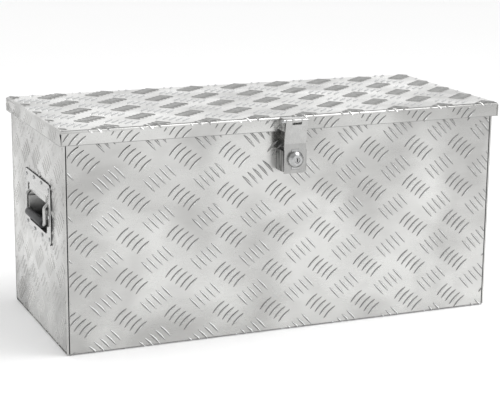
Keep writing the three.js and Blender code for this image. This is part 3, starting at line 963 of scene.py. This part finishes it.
@dataclass
class BodyShell:
    """The body: one sheet folded round front, bottom and back, and an end panel at each end."""

    palette: Palette
    sheet: float = 2.0 * MM
    bend: float = 3.5 * MM
    rim_lip: float = 15.0 * MM
    end_frame: float = 3.4 * MM
    seam: float = 1.8 * MM
    sealant_depth: float = 1.2 * MM
    shade_band_height: float = 1.6 * MM
    sheet_edge: float = 0.25 * MM
    panel_edge: float = 0.2 * MM
    rim_round: float = 1.6 * MM
    face_margin: float = 0.2 * MM
    front_anchor: Pair = (319.0 * MM, 285.5 * MM)
    end_anchor: Pair = (-130.0 * MM, 290.0 * MM)
    end_pitch: Pair = (65.6 * MM, 83.0 * MM)
    end_bar_height: float = 0.8 * MM
    end_margin: float = 1.2 * MM
    plate_margin: float = 0.5 * MM
    tool_reach: float = 20 * MM

    def __post_init__(self) -> None:
        """Takes the overall sizes from the frame."""
        self.low, self.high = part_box("body_wrap")

    def section(self, lip: float) -> list[Pair]:
        """The folded section, with a lip along both top edges where it has one."""
        front, back = self.low.y, self.high.y
        top, bottom = self.high.z, self.low.z
        corners = [(front, top), (front, bottom), (back, bottom), (back, top)]
        if lip:
            corners = [(front + lip, top), *corners, (back - lip, top)]
        return bent_section(corners, self.sheet, self.bend)

    def build_wrap(self) -> None:
        """The folded sheet, between the frames of the two ends."""
        inset = self.end_frame + self.seam
        wrap = prism_x("body_sheet", self.section(self.rim_lip),
                       self.low.x + inset, self.high.x - inset)
        bevelled(wrap, self.sheet_edge, SHEET_EDGE)
        # Painted shadow: a dark band along the bottom fold, where the box meets the floor.
        paint_shade_band(wrap, self.low.z + self.shade_band_height, self.palette.tread, self.palette.crease)
        dress(wrap, Body.BOX, Slot.TREAD, self.palette, ["body_wrap"])

    def build_end_frame(self, end: End) -> None:
        """The narrow strip where an end's sheet is folded round the corner.

        Args:
            end: the end that it belongs to.
        """
        outside = self.low.x if end is End.LEFT else self.high.x
        inside = outside - end.value * self.end_frame
        strip = prism_x(f"{end.word}_corner_strip", self.section(0.0),
                        min(outside, inside), max(outside, inside))
        work = bmesh.new()
        work.from_mesh(strip.data)
        rim = [
            edge for edge in work.edges
            if all(abs(v.co.x - outside) < 1e-6 and self.on_outside(v.co) for v in edge.verts)
        ]
        bmesh.ops.bevel(work, geom=rim, offset=self.rim_round, segments=5, profile=0.5,
                        affect="EDGES")
        work.to_mesh(strip.data)
        work.free()
        dress(shade(strip), Body.BOX, Slot.TREAD, self.palette)
        far = inside - end.value * self.seam
        depth = self.sealant_depth
        corners = [(self.low.y + depth, self.high.z), (self.low.y + depth, self.low.z + depth),
                   (self.high.y - depth, self.low.z + depth), (self.high.y - depth, self.high.z)]
        bead = prism_x(f"{end.word}_seam_sealant",
                       bent_section(corners, self.sheet - depth, self.bend),
                       min(far, inside), max(far, inside))
        dress(shade(bead), Body.BOX, Slot.SEAL, self.palette)

    def on_outside(self, point: Vector) -> bool:
        """Whether a point of the section lies on its outer face."""
        centre_y = max(self.low.y + self.bend, min(self.high.y - self.bend, point.y))
        centre_z = max(self.low.z + self.bend, point.z)
        reach = math.hypot(point.y - centre_y, point.z - centre_z)
        return reach > self.bend - self.face_margin

    def build_tread(self) -> None:
        """The raised bars on the front, the bottom and the back."""
        inset = self.end_frame + self.seam + 1.0 * MM
        top = self.high.z - self.bend
        front, back, bottom = self.low.y, self.high.y, self.low.z
        fold = Fold([(front, top), (front, bottom), (back, bottom), (back, top)], self.bend)
        length = 2 * (top - bottom) + (back - front) - 4 * self.bend + math.pi * self.bend

        def mapping(u: float, v: float, height: float) -> Triple:
            """An unfolded place, measured up from the front's lower edge."""
            y, z = fold.place(top - v, height)
            return (u, y, z)

        tread = Tread(anchor=self.front_anchor).build(
            "body_tread", (self.low.x + inset, top - length + 2 * MM),
            (self.high.x - inset, top - 1 * MM), mapping, self.palette)
        dress(tread, Body.BOX, Slot.TREAD, self.palette)

    def build_end(self, end: End) -> None:
        """An end panel and the bars on it.

        Args:
            end: which end it is.
        """
        node = f"{end.word}_end_panel"
        panel = bevelled(from_node(f"{end.word}_end_sheet", node), self.panel_edge,
                         FOLDED_EDGE)
        dress(panel, Body.BOX, Slot.TREAD, self.palette, [node])
        plate_low, plate_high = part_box(f"{end.word}_handle_plate")
        low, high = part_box(node)
        face = low.x if end is End.LEFT else high.x

        def mapping(u: float, v: float, height: float) -> Triple:
            """A place on the end, with u running along the depth."""
            return (face + end.value * height, u, v)

        edge = self.end_margin
        margin = self.plate_margin
        bare = ((plate_low.y - margin, plate_low.z - margin),
                (plate_high.y + margin, plate_high.z + margin))
        tread = Tread(anchor=self.end_anchor, pitch=self.end_pitch,
                      height=self.end_bar_height, wear=Wear.NONE).build(
            f"{end.word}_end_tread", (low.y + edge, low.z + edge),
            (high.y - edge, high.z - self.bend), mapping, self.palette)
        tool = cuboid("handle_place", (face - self.tool_reach, bare[0][0], bare[0][1]),
                      (face + self.tool_reach, bare[1][0], bare[1][1]))
        carve(tread, tool)
        dress(shade(tread, FOLDED_EDGE), Body.BOX, Slot.TREAD, self.palette)

    def build(self) -> None:
        """Builds the whole body."""
        self.build_wrap()
        self.build_tread()
        for end in End:
            self.build_end_frame(end)
            self.build_end(end)


# ------------------------------------------------------------------------------- lid


@dataclass
class LidShell:
    """The lid: a sheet folded down on four sides, its seal and its raised bars."""

    palette: Palette
    sheet: float = 2.0 * MM
    bend: float = 4.5 * MM
    seam_in: float = 1.6 * MM
    seam_width: float = 1.1 * MM
    seam_depth: float = 1.5 * MM
    shade_band_height: float = 0.8 * MM
    shell_edge: float = 0.2 * MM
    bar_margin: float = 0.8 * MM
    top_anchor: Pair = (-308.0 * MM, 143.0 * MM)
    top_pitch: Pair = (83.0 * MM, 76.0 * MM)
    front_anchor: Pair = (-28.0 * MM, 16.0 * MM)
    front_pitch: Pair = (85.0 * MM, 76.0 * MM)
    end_anchor: Pair = (-130.0 * MM, 350.0 * MM)
    end_pitch: Pair = (76.0 * MM, 83.0 * MM)
    end_bar_height: float = 0.8 * MM

    def __post_init__(self) -> None:
        """Takes the overall sizes from the frame."""
        self.low, self.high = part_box("lid_shell")

    def rounded(self, name: str, inset: float, drop: float) -> bpy.types.Object:
        """A block with its four top edges rounded, one sheet's thickness in where asked.

        Args:
            name: the block's name.
            inset: how far its sides stand in.
            drop: how far it reaches below the skirt.

        Returns:
            The block.
        """
        radius = self.bend - inset
        low, high = self.low + Vector((inset, inset, 0.0)), self.high - Vector((inset,) * 3)

        def cap(near: float, far: float) -> list[Pair]:
            """The rounded outline between two sides."""
            outline = [(near, low.z - drop), (far, low.z - drop)]
            for i in range(9):
                angle = math.pi / 2 * i / 8
                outline.append((far - radius + radius * math.cos(angle),
                                high.z - radius + radius * math.sin(angle)))
            for i in range(9):
                angle = math.pi / 2 * (1 + i / 8)
                outline.append((near + radius + radius * math.cos(angle),
                                high.z - radius + radius * math.sin(angle)))
            return outline

        along = prism_x(name, cap(low.y, high.y), low.x, high.x)
        across = prism_x(name + "_across", cap(low.x, high.x), -high.y, -low.y)
        across.data.transform(Matrix.Rotation(-math.pi / 2, 4, "Z"))
        return carve(along, across, "INTERSECT")

    def build_shell(self) -> None:
        """The folded sheet, with a seam at each corner where two skirts meet."""
        shell = self.rounded("lid_sheet", 0.0, 0.0)
        carve(shell, self.rounded("lid_inside", self.sheet, 5 * MM))
        for side_x in (-1, 1):
            for side_y in (-1, 1):
                x = (self.high.x - self.seam_in - self.seam_width / 2) * side_x
                y = (self.high.y if side_y > 0 else self.low.y)
                half = self.seam_width / 2
                tool = cuboid("seam", (x - half, y - self.seam_depth, self.low.z - 1 * MM),
                              (x + half, y + self.seam_depth, self.high.z - self.bend))
                carve(shell, tool)
        bevelled(shell, self.shell_edge, FOLDED_EDGE)
        # Painted shadow: a dark band along the skirt's lower edge.
        paint_shade_band(shell, self.low.z + self.shade_band_height, self.palette.tread, self.palette.crease)
        # Painted shade: the upper facets of the front fold get the dark finish, a thin dark line
        # above the bright bend.
        for polygon in shell.data.polygons:
            normal, middle = polygon.normal, polygon.center
            fold = 0.83 < normal.z < 0.999 and normal.y < -0.05
            outside = middle.z > self.high.z - self.bend / 3
            if fold and outside:
                polygon.material_index = 1
        dress(shell, Body.LID, Slot.TREAD, self.palette, ["lid_shell"])

    def build_tread(self) -> None:
        """The raised bars on the top and the skirts."""
        edge = self.bar_margin
        front, back = self.low.y, self.high.y
        skirt = self.low.z
        fold = Fold([(back, skirt), (back, self.high.z), (front, self.high.z), (front, skirt)],
                    self.bend)
        rise = self.high.z - self.bend - skirt
        arc = self.bend * math.pi / 2
        on_top = rise + arc
        total = 2 * on_top + back - front - 2 * self.bend

        def mapping(u: float, v: float, height: float) -> Triple:
            """A place along the front skirt, over the top and down the back skirt."""
            y, z = fold.place(total - v, height)
            return (u, y, z)

        anchor = (self.top_anchor[0], on_top + self.top_anchor[1] - front - self.bend)
        pattern = Tread(anchor=anchor, pitch=self.top_pitch, lean=math.radians(-0.7),
                        stagger=(8.6 * MM, 7.4 * MM), width=6.0 * MM, height=1.4 * MM,
                        foot=0.25 * MM, flank=1.9 * MM, wear=Wear.LIGHT, rises_at_anchor=False)
        side = self.high.x - self.bend - edge
        tread = pattern.build("lid_tread", (-side, rise), (side, total - edge),
                              mapping, self.palette)
        dress(tread, Body.LID, Slot.TREAD, self.palette)
        pattern = Tread(anchor=self.front_anchor, pitch=self.front_pitch, lean=0.0)
        reach = self.high.x - self.seam_in - self.seam_width - edge
        skirt_bars = pattern.build("lid_front_tread", (-reach, edge), (reach, rise - 0.2 * MM),
                                   mapping, self.palette)
        dress(skirt_bars, Body.LID, Slot.TREAD, self.palette)
        for end in End:
            face = self.low.x if end is End.LEFT else self.high.x

            def on_skirt(u: float, v: float, height: float) -> Triple:
                """A place on an end's skirt."""
                return (face + end.value * height, u, v)

            bars = Tread(anchor=self.end_anchor, pitch=self.end_pitch,
                         height=self.end_bar_height, wear=Wear.NONE).build(
                f"{end.word}_skirt_tread", (front + 3 * MM, skirt + edge),
                (back - 3 * MM, self.high.z - self.bend), on_skirt, self.palette)
            dress(bars, Body.LID, Slot.TREAD, self.palette)

    def build(self) -> None:
        """Builds the whole lid."""
        self.build_shell()
        self.build_tread()
        finish_node("lid_seal", Slot.SEAL, self.palette)


# ------------------------------------------------------------------------------- rivets


@dataclass(frozen=True)
class Rivets:
    """A set of pulled rivets, each with a dome, a dimple and a tail behind the metal."""

    palette: Palette
    head: float = 3.4 * MM
    dome: float = 1.6 * MM
    shank: float = 1.6 * MM
    tail: float = 2.5 * MM
    tail_height: float = 1.2 * MM
    dimple: float = 0.9 * MM
    rim: float = 0.25 * MM
    sharp: float = 50.0

    def build(self, name: str, nodes: Sequence[str], axis: Triple, body: Body) -> None:
        """Builds one piece for a row of rivets.

        Args:
            name: the piece's name.
            nodes: the CAD rivets that it stands for.
            axis: the direction that the domes point in.
            body: the body that they ride on.
        """
        way = Vector(axis)
        places = []
        for node in nodes:
            low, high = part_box(node)
            middle = (low + high) / 2
            reach = abs((high - low).dot(way)) / 2
            places.append(tuple(middle + way * (reach - self.dome)))
        low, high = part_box(nodes[0])
        length = abs((high - low).dot(way))
        behind = -(length - self.dome - self.tail_height)
        arc = [(math.cos(math.radians(a)), math.sin(math.radians(a))) for a in range(15, 76, 15)]
        profile = [
            (0.0, behind - self.tail_height), (self.tail * 0.8, behind - self.tail_height),
            (self.tail, behind - self.tail_height * 0.6), (self.tail, behind),
            (self.shank, behind), (self.shank, 0.0), (self.head, 0.0), (self.head, self.rim),
            *[(self.head * c, self.rim + (self.dome - self.rim) * s) for c, s in arc
              if self.head * c > self.dimple],
            (self.dimple, self.dome * 0.98), (self.dimple * 0.7, self.dome - 0.45 * MM),
            (0.0, self.dome - 0.5 * MM),
        ]
        rivets = turned(name, profile, axis, places, 24)
        dress(shade(rivets, self.sharp), body, Slot.RIVETS, self.palette, nodes)


# ------------------------------------------------------------------------------- hinge


@dataclass
class PianoHinge:
    """The long hinge behind the lid."""

    palette: Palette
    rivet_count: int = 5
    leaf_edge: float = 0.15 * MM

    def build(self) -> None:
        """Finishes the two leaves and the pin, and builds the rivets."""
        for node, name, body in (
            ("hinge_body_leaf", "hinge_lower_leaf", Body.BOX),
            ("hinge_lid_leaf", "hinge_upper_leaf", Body.LID),
        ):
            leaf = bevelled(from_node(name, node), self.leaf_edge, SHEET_EDGE, 1)
            dress(leaf, body, Slot.HINGE, self.palette, [node])
        finish_node("hinge_pin", Slot.HINGE, self.palette)
        rivets = Rivets(self.palette)
        numbers = range(1, self.rivet_count + 1)
        rivets.build("hinge_lower_rivets", [f"hinge_body_rivet_{n}" for n in numbers],
                     (0.0, 1.0, 0.0), Body.BOX)
        rivets.build("hinge_upper_rivets", [f"hinge_lid_rivet_{n}" for n in numbers],
                     (0.0, 1.0, 0.0), Body.LID)


# ------------------------------------------------------------------------------- hasp and lock


@dataclass
class HaspAndLock:
    """The hasp with its bracket, keeper, barrel and turning core."""

    palette: Palette
    edge: float = 0.35 * MM
    keyway: Pair = (1.1 * MM, 3.2 * MM)
    keyway_depth: float = 9.5 * MM
    strap_drop: float = 45.0 * MM
    plug_edge: float = 0.15 * MM
    small_edge: float = 0.25 * MM
    turned_edge: float = 0.3 * MM

    def from_cad(self, node: str, name: str, body: Body, slot: Slot, edge: float) -> None:
        """Builds a piece with a node's shape and broken edges.

        Args:
            node: the CAD node.
            name: the piece's name.
            body: the body that it rides on.
            slot: its finish.
            edge: the bevel's width.
        """
        piece = bevelled(from_node(name, node), edge, MACHINED_EDGE)
        dress(piece, body, slot, self.palette, [node])

    def build_strap(self) -> None:
        """The hasp's strap, a little darker below its bend, as painted shade."""
        strap = bevelled(from_node("hasp_strap", "hasp_plate"), self.edge, MACHINED_EDGE)
        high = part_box("hasp_plate")[1]
        bend = high.z - self.strap_drop
        strap.data.materials.append(self.palette.lock)
        strap.data.materials.append(self.palette.strap)
        # Painted shade: faces below the bend get the darker steel.
        for polygon in strap.data.polygons:
            polygon.material_index = int(polygon.center.z < bend)
        dress(strap, Body.HASP, Slot.LOCK, self.palette, ["hasp_plate"])

    def build_plug(self) -> None:
        """The turning plug, with the inside of its key slot painted near-black as shade."""
        plug = bevelled(from_node("key_plug", "lock_plug"), self.plug_edge, MACHINED_EDGE)
        low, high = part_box("lock_plug")
        middle = (low + high) / 2
        plug.data.materials.append(self.palette.chrome)
        plug.data.materials.append(self.palette.keyway)
        # Painted shade: faces inside the key slot get the near-black finish.
        for polygon in plug.data.polygons:
            centre = polygon.center
            inside = (abs(centre.x - middle.x) < self.keyway[0]
                      and abs(centre.z - middle.z) < self.keyway[1]
                      and low.y + 0.1 * MM < centre.y < low.y + self.keyway_depth)
            polygon.material_index = int(inside)
        dress(plug, Body.CORE, Slot.CHROME, self.palette, ["lock_plug"])

    def build(self) -> None:
        """Builds every piece of the hasp and the lock."""
        self.from_cad("hasp_bracket", "hasp_cover", Body.LID, Slot.LOCK, self.edge)
        self.build_strap()
        keeper = bevelled(from_node("keeper_housing", "keeper_box"), self.edge, MACHINED_EDGE)
        keeper.data.materials.append(self.palette.keeper)
        dress(keeper, Body.BOX, Slot.LOCK, self.palette, ["keeper_box"])
        self.from_cad("lock_barrel", "barrel_housing", Body.HASP, Slot.CHROME,
                      self.turned_edge)
        self.build_plug()
        self.from_cad("hasp_pin", "hasp_hinge_pin", Body.LID, Slot.CHROME,
                      self.small_edge)
        self.from_cad("lock_nut", "barrel_nut", Body.HASP, Slot.LOCK, self.turned_edge)
        self.from_cad("lock_cam", "locking_cam", Body.CORE, Slot.LOCK, self.small_edge)
        finish_node("lock_cam_screw", Slot.RIVETS, self.palette)
        rivets = Rivets(self.palette)
        rivets.build("bracket_rivets", ["bracket_rivet_1", "bracket_rivet_2"],
                     (0.0, -1.0, 0.0), Body.LID)
        rivets.build("keeper_rivets", ["keeper_rivet_1", "keeper_rivet_2"],
                     (0.0, -1.0, 0.0), Body.BOX)


# ------------------------------------------------------------------------------- handles


@dataclass
class DropHandle:
    """An end's handle: a plate with a pressed dish, a bent bail and a rubber grip."""

    palette: Palette
    end: End
    rod: float = 3.1 * MM
    half_width: float = 55.0 * MM
    bend: float = 7.0 * MM
    tight: float = 3.5 * MM
    dive: float = 15.5 * MM
    bend_steps: int = 8
    grip_radius: float = 6.6 * MM
    grip_bore: float = 3.45 * MM
    grip_length: float = 92.0 * MM
    rivets: int = 10
    lip: float = 2.2 * MM
    bead_grow: Pair = (2.0 * MM, 0.6 * MM)
    bead_wall: float = 3.0 * MM
    bead_height: float = 1.2 * MM
    corner: float = 9.0 * MM
    dish_top: float = 234.0 * MM
    plate_edge: float = 0.35 * MM
    bead_gap: float = 0.15 * MM
    grip_round: float = 1.4 * MM
    grip_sharp: float = 60.0

    @property
    def body(self) -> Body:
        """The body that the bail and the grip ride on."""
        return Body.LEFT_BAIL if self.end is End.LEFT else Body.RIGHT_BAIL

    def bail_path(self) -> list[Vector]:
        """The centre line of the bail, from one end to the other."""
        low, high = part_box(f"{self.end.word}_bail")
        middle = (low + high) / 2
        rest = self.rod * math.cos(math.pi / 8)
        top, bottom = high.z - rest, low.z + rest
        out, inside = low.x + rest, high.x - rest
        if self.end is End.RIGHT:
            out, inside = high.x - rest, low.x + rest
        halfway = Vector(((out + inside) / 2, 0.0, top - (self.tight + self.dive) / 2))

        def curve(start: Vector, corner: Vector, end: Vector) -> list[Vector]:
            """The points of a bend."""
            count = self.bend_steps
            return [start.lerp(corner, i / count).lerp(corner.lerp(end, i / count), i / count)
                    for i in range(count + 1)]

        def arm(side: int) -> list[Vector]:
            """One arm, from its end in the plate down to the grip's rod."""
            y = self.half_width * side
            tight, low_turn = self.tight * side, self.bend * side
            across = middle.y + y
            last = low.y if side < 0 else high.y
            return [
                Vector((inside, last, top)),
                *curve(Vector((inside, across + tight, top)), Vector((inside, across, top)),
                       Vector((inside, across, top - self.tight))),
                *curve(Vector((inside, across, top - self.tight)),
                       Vector((inside, across, (halfway.z + top - self.tight) / 2)),
                       Vector((halfway.x, across, halfway.z)))[1:],
                *curve(Vector((halfway.x, across, halfway.z)),
                       Vector((out, across, (halfway.z + top - self.dive) / 2)),
                       Vector((out, across, top - self.dive)))[1:],
                *curve(Vector((out, across, bottom + self.bend)), Vector((out, across, bottom)),
                       Vector((out, across - low_turn, bottom))),
            ]

        return arm(-1) + arm(1)[::-1]

    def rounded(self, low: Vector, high: Vector, grow_y: float, grow_z: float) -> list[Pair]:
        """The (y, z) outline of the plate, let out or drawn in."""
        steps, corner = 6, self.corner
        reach_y, reach_z = (high.y - low.y) / 2 + grow_y, (high.z - low.z) / 2 + grow_z
        middle = (low + high) / 2
        outline = []
        for quarter in range(4):
            for i in range(steps + 1):
                angle = math.pi / 2 * (quarter + i / steps)
                side_y = 1 if quarter in (0, 3) else -1
                side_z = 1 if quarter in (0, 1) else -1
                outline.append((
                    middle.y + side_y * (reach_y - corner) + corner * math.cos(angle),
                    middle.z + side_z * (reach_z - corner) + corner * math.sin(angle)))
        return outline

    def build_edge_shade_bead(self) -> None:
        """A dark bead round the plate's edge, in the seal's foam finish, as painted shadow under
        the edge.
        """
        word = self.end.word
        low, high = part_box(f"{word}_handle_plate")
        sheet_low, sheet_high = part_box(f"{word}_end_panel")
        face = sheet_low.x if self.end is End.LEFT else sheet_high.x
        inner = face + self.end.value * self.bead_gap
        outer = face + self.end.value * self.bead_height
        near, far = sorted((inner, outer))
        ring = prism_x(f"{word}_handle_sealant",
                       self.rounded(low, high, *self.bead_grow), near, far)
        hole = prism_x("bead_hole", self.rounded(low, high, -self.bead_wall, -self.bead_wall),
                       near - 1 * MM, far + 1 * MM)
        # Painted shadow: the dark bead stands for the shade round the plate's edge.
        dress(shade(carve(ring, hole)), Body.BOX, Slot.SEAL, self.palette)

    def build(self) -> None:
        """Builds the plate, the rivets, the bail and the grip."""
        word = self.end.word
        plate = bevelled(from_node(f"{word}_handle_dish", f"{word}_handle_plate"),
                         self.plate_edge, MACHINED_EDGE)
        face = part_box(f"{word}_handle_plate")[0 if self.end is End.LEFT else 1].x
        plate.data.materials.append(self.palette.handle)
        plate.data.materials.append(self.palette.recess)
        # Painted shade: the inside of the dish below dish_top gets the finish that darkens towards
        # the bottom.
        for polygon in plate.data.polygons:
            deep = abs(face) - abs(polygon.center.x)
            above = polygon.center.z > self.dish_top
            polygon.material_index = int(deep > self.lip and not above)
        self.build_edge_shade_bead()
        dress(plate, Body.BOX, Slot.HANDLE, self.palette, [f"{word}_handle_plate"])
        Rivets(self.palette).build(
            f"{word}_handle_rivets",
            [f"{word}_handle_rivet_{n}" for n in range(1, self.rivets + 1)],
            (float(self.end.value), 0.0, 0.0), Body.BOX)
        rod = swept(f"{word}_bail_rod", self.bail_path(), self.rod, Vector((1.0, 0.0, 0.0)))
        dress(shade(rod), self.body, Slot.HANDLE, self.palette, [f"{word}_bail"])
        low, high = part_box(f"{word}_grip")
        half = self.grip_length / 2
        radius, lip = self.grip_radius, self.grip_round
        profile = [
            (self.grip_bore, -half), (radius - lip, -half), (radius - lip * 0.3, lip * 0.3 - half),
            (radius, lip - half), (radius, half - lip), (radius - lip * 0.3, half - lip * 0.3),
            (radius - lip, half), (self.grip_bore, half),
        ]
        grip = turned(f"{word}_grip_sleeve", profile, (0.0, 1.0, 0.0), [tuple((low + high) / 2)])
        dress(shade(grip, self.grip_sharp), self.body, Slot.GRIP, self.palette, [f"{word}_grip"])


# ------------------------------------------------------------------------------- studio


@dataclass(frozen=True)
class Glow:
    """A soft patch of the studio's surroundings, brighter or darker than the rest."""

    way: Triple
    level: float
    inner: float
    outer: float


@dataclass
class Studio:
    """The pale floor, the soft light and the camera."""

    floor_size: float = 30.0
    floor_drop: float = 1.05 * MM
    surround: float = 1.0
    glows: tuple[Glow, ...] = (
        Glow((-0.55, -0.25, 0.78), 0.6, 26.0, 46.0),
        Glow((-0.4, -0.87, 0.28), 0.45, 10.0, 24.0),
        Glow((0.88, 0.3, 0.36), 0.58, 16.0, 34.0),
        Glow((0.376, 0.45, 0.81), 0.2, 10.0, 22.0),
        Glow((0.45, -0.3, 0.85), 1.7, 10.0, 26.0),
        Glow((0.376, 0.895, 0.239), 1.22, 14.0, 26.0),
    )
    camera_at: Triple = (-0.97665, -2.31948, 0.78749)
    camera_right: Triple = (0.92257, -0.38572, 0.00869)
    camera_up: Triple = (0.08447, 0.22392, 0.97094)
    lens: float = 108.22
    sensor: float = 36.0

    def build_surroundings(self) -> None:
        """A white surround with soft brighter and darker patches, seen plain white itself."""
        world = bpy.data.worlds.new("studio")
        bpy.context.scene.world = world
        world.use_nodes = True
        nodes, links = world.node_tree.nodes, world.node_tree.links
        background = nodes["Background"]
        place = nodes.new("ShaderNodeTexCoord").outputs["Generated"]
        level = nodes.new("ShaderNodeValue")
        level.outputs[0].default_value = self.surround
        value = level.outputs[0]
        for glow in self.glows:
            dot = nodes.new("ShaderNodeVectorMath")
            dot.operation = "DOT_PRODUCT"
            dot.inputs[1].default_value = Vector(glow.way).normalized()
            links.new(place, dot.inputs[0])
            fade = nodes.new("ShaderNodeMapRange")
            fade.interpolation_type = "SMOOTHSTEP"
            fade.inputs["From Min"].default_value = math.cos(math.radians(glow.outer))
            fade.inputs["From Max"].default_value = math.cos(math.radians(glow.inner))
            links.new(dot.outputs["Value"], fade.inputs["Value"])
            mix = nodes.new("ShaderNodeMix")
            mix.inputs["B"].default_value = glow.level
            links.new(fade.outputs["Result"], mix.inputs["Factor"])
            links.new(value, mix.inputs["A"])
            value = mix.outputs["Result"]
        seen = nodes.new("ShaderNodeMix")
        seen.inputs["B"].default_value = 1.0
        links.new(nodes.new("ShaderNodeLightPath").outputs["Is Camera Ray"],
                  seen.inputs["Factor"])
        links.new(value, seen.inputs["A"])
        links.new(seen.outputs["Result"], background.inputs["Strength"])
        background.inputs["Color"].default_value = (1.0, 1.0, 1.0, 1.0)

    def build_light(self, name: str, place: Triple, target: Triple, size: Pair,
                    power: float) -> None:
        """A soft box.

        Args:
            name: the light's name.
            place: where it hangs.
            target: what it points at.
            size: its width and height.
            power: its power in watts.
        """
        lamp = bpy.data.lights.new(name, "AREA")
        lamp.shape = "RECTANGLE"
        lamp.size, lamp.size_y = size
        lamp.energy = power
        holder = bpy.data.objects.new(name, lamp)
        holder.location = place
        aim = Vector(target) - Vector(place)
        holder.rotation_euler = aim.to_track_quat("-Z", "Y").to_euler()
        bpy.context.scene.collection.objects.link(holder)

    def build_floor(self) -> None:
        """The floor that the box stands on."""
        half = self.floor_size / 2
        floor = mesh_object(
            "studio_floor",
            [(-half, -half, -self.floor_drop), (half, -half, -self.floor_drop),
             (half, half, -self.floor_drop), (-half, half, -self.floor_drop)],
            [(0, 1, 2, 3)])
        if floor.data.polygons[0].normal.z < 0:
            floor.data.flip_normals()
        floor.data.materials.append(StudioFloor().make())

    def build_camera(self) -> None:
        """The camera."""
        camera = bpy.data.objects.new("camera", bpy.data.cameras.new("camera"))
        camera.data.lens = self.lens
        camera.data.sensor_width = self.sensor
        right, up = Vector(self.camera_right).normalized(), Vector(self.camera_up)
        back = right.cross(up).normalized()
        turn = Matrix((right, back.cross(right), back)).transposed()
        camera.matrix_world = Matrix.Translation(self.camera_at) @ turn.to_4x4()
        bpy.context.scene.collection.objects.link(camera)
        bpy.context.scene.camera = camera

    def build(self) -> None:
        """Builds the whole studio."""
        self.build_camera()
        self.build_floor()
        self.build_surroundings()
        self.build_light("overhead_box", (1.1, -0.4, 2.4), (0.0, 0.0, 0.2), (1.4, 1.2), 22.0)
        bpy.context.scene.view_settings.view_transform = "Standard"


def main() -> None:
    """Builds the studio and then the box, one sub-assembly at a time."""
    logging.basicConfig(level=logging.INFO, format="%(message)s", stream=sys.stdout)
    Studio().build()
    palette = Palette.make()
    assemblies = [
        BodyShell(palette),
        LidShell(palette),
        PianoHinge(palette),
        HaspAndLock(palette),
        *[DropHandle(palette, end) for end in End],
    ]
    for assembly in assemblies:
        assembly.build()
        LOG.info("%s is built", type(assembly).__name__)


if __name__ == "__main__":
    main()
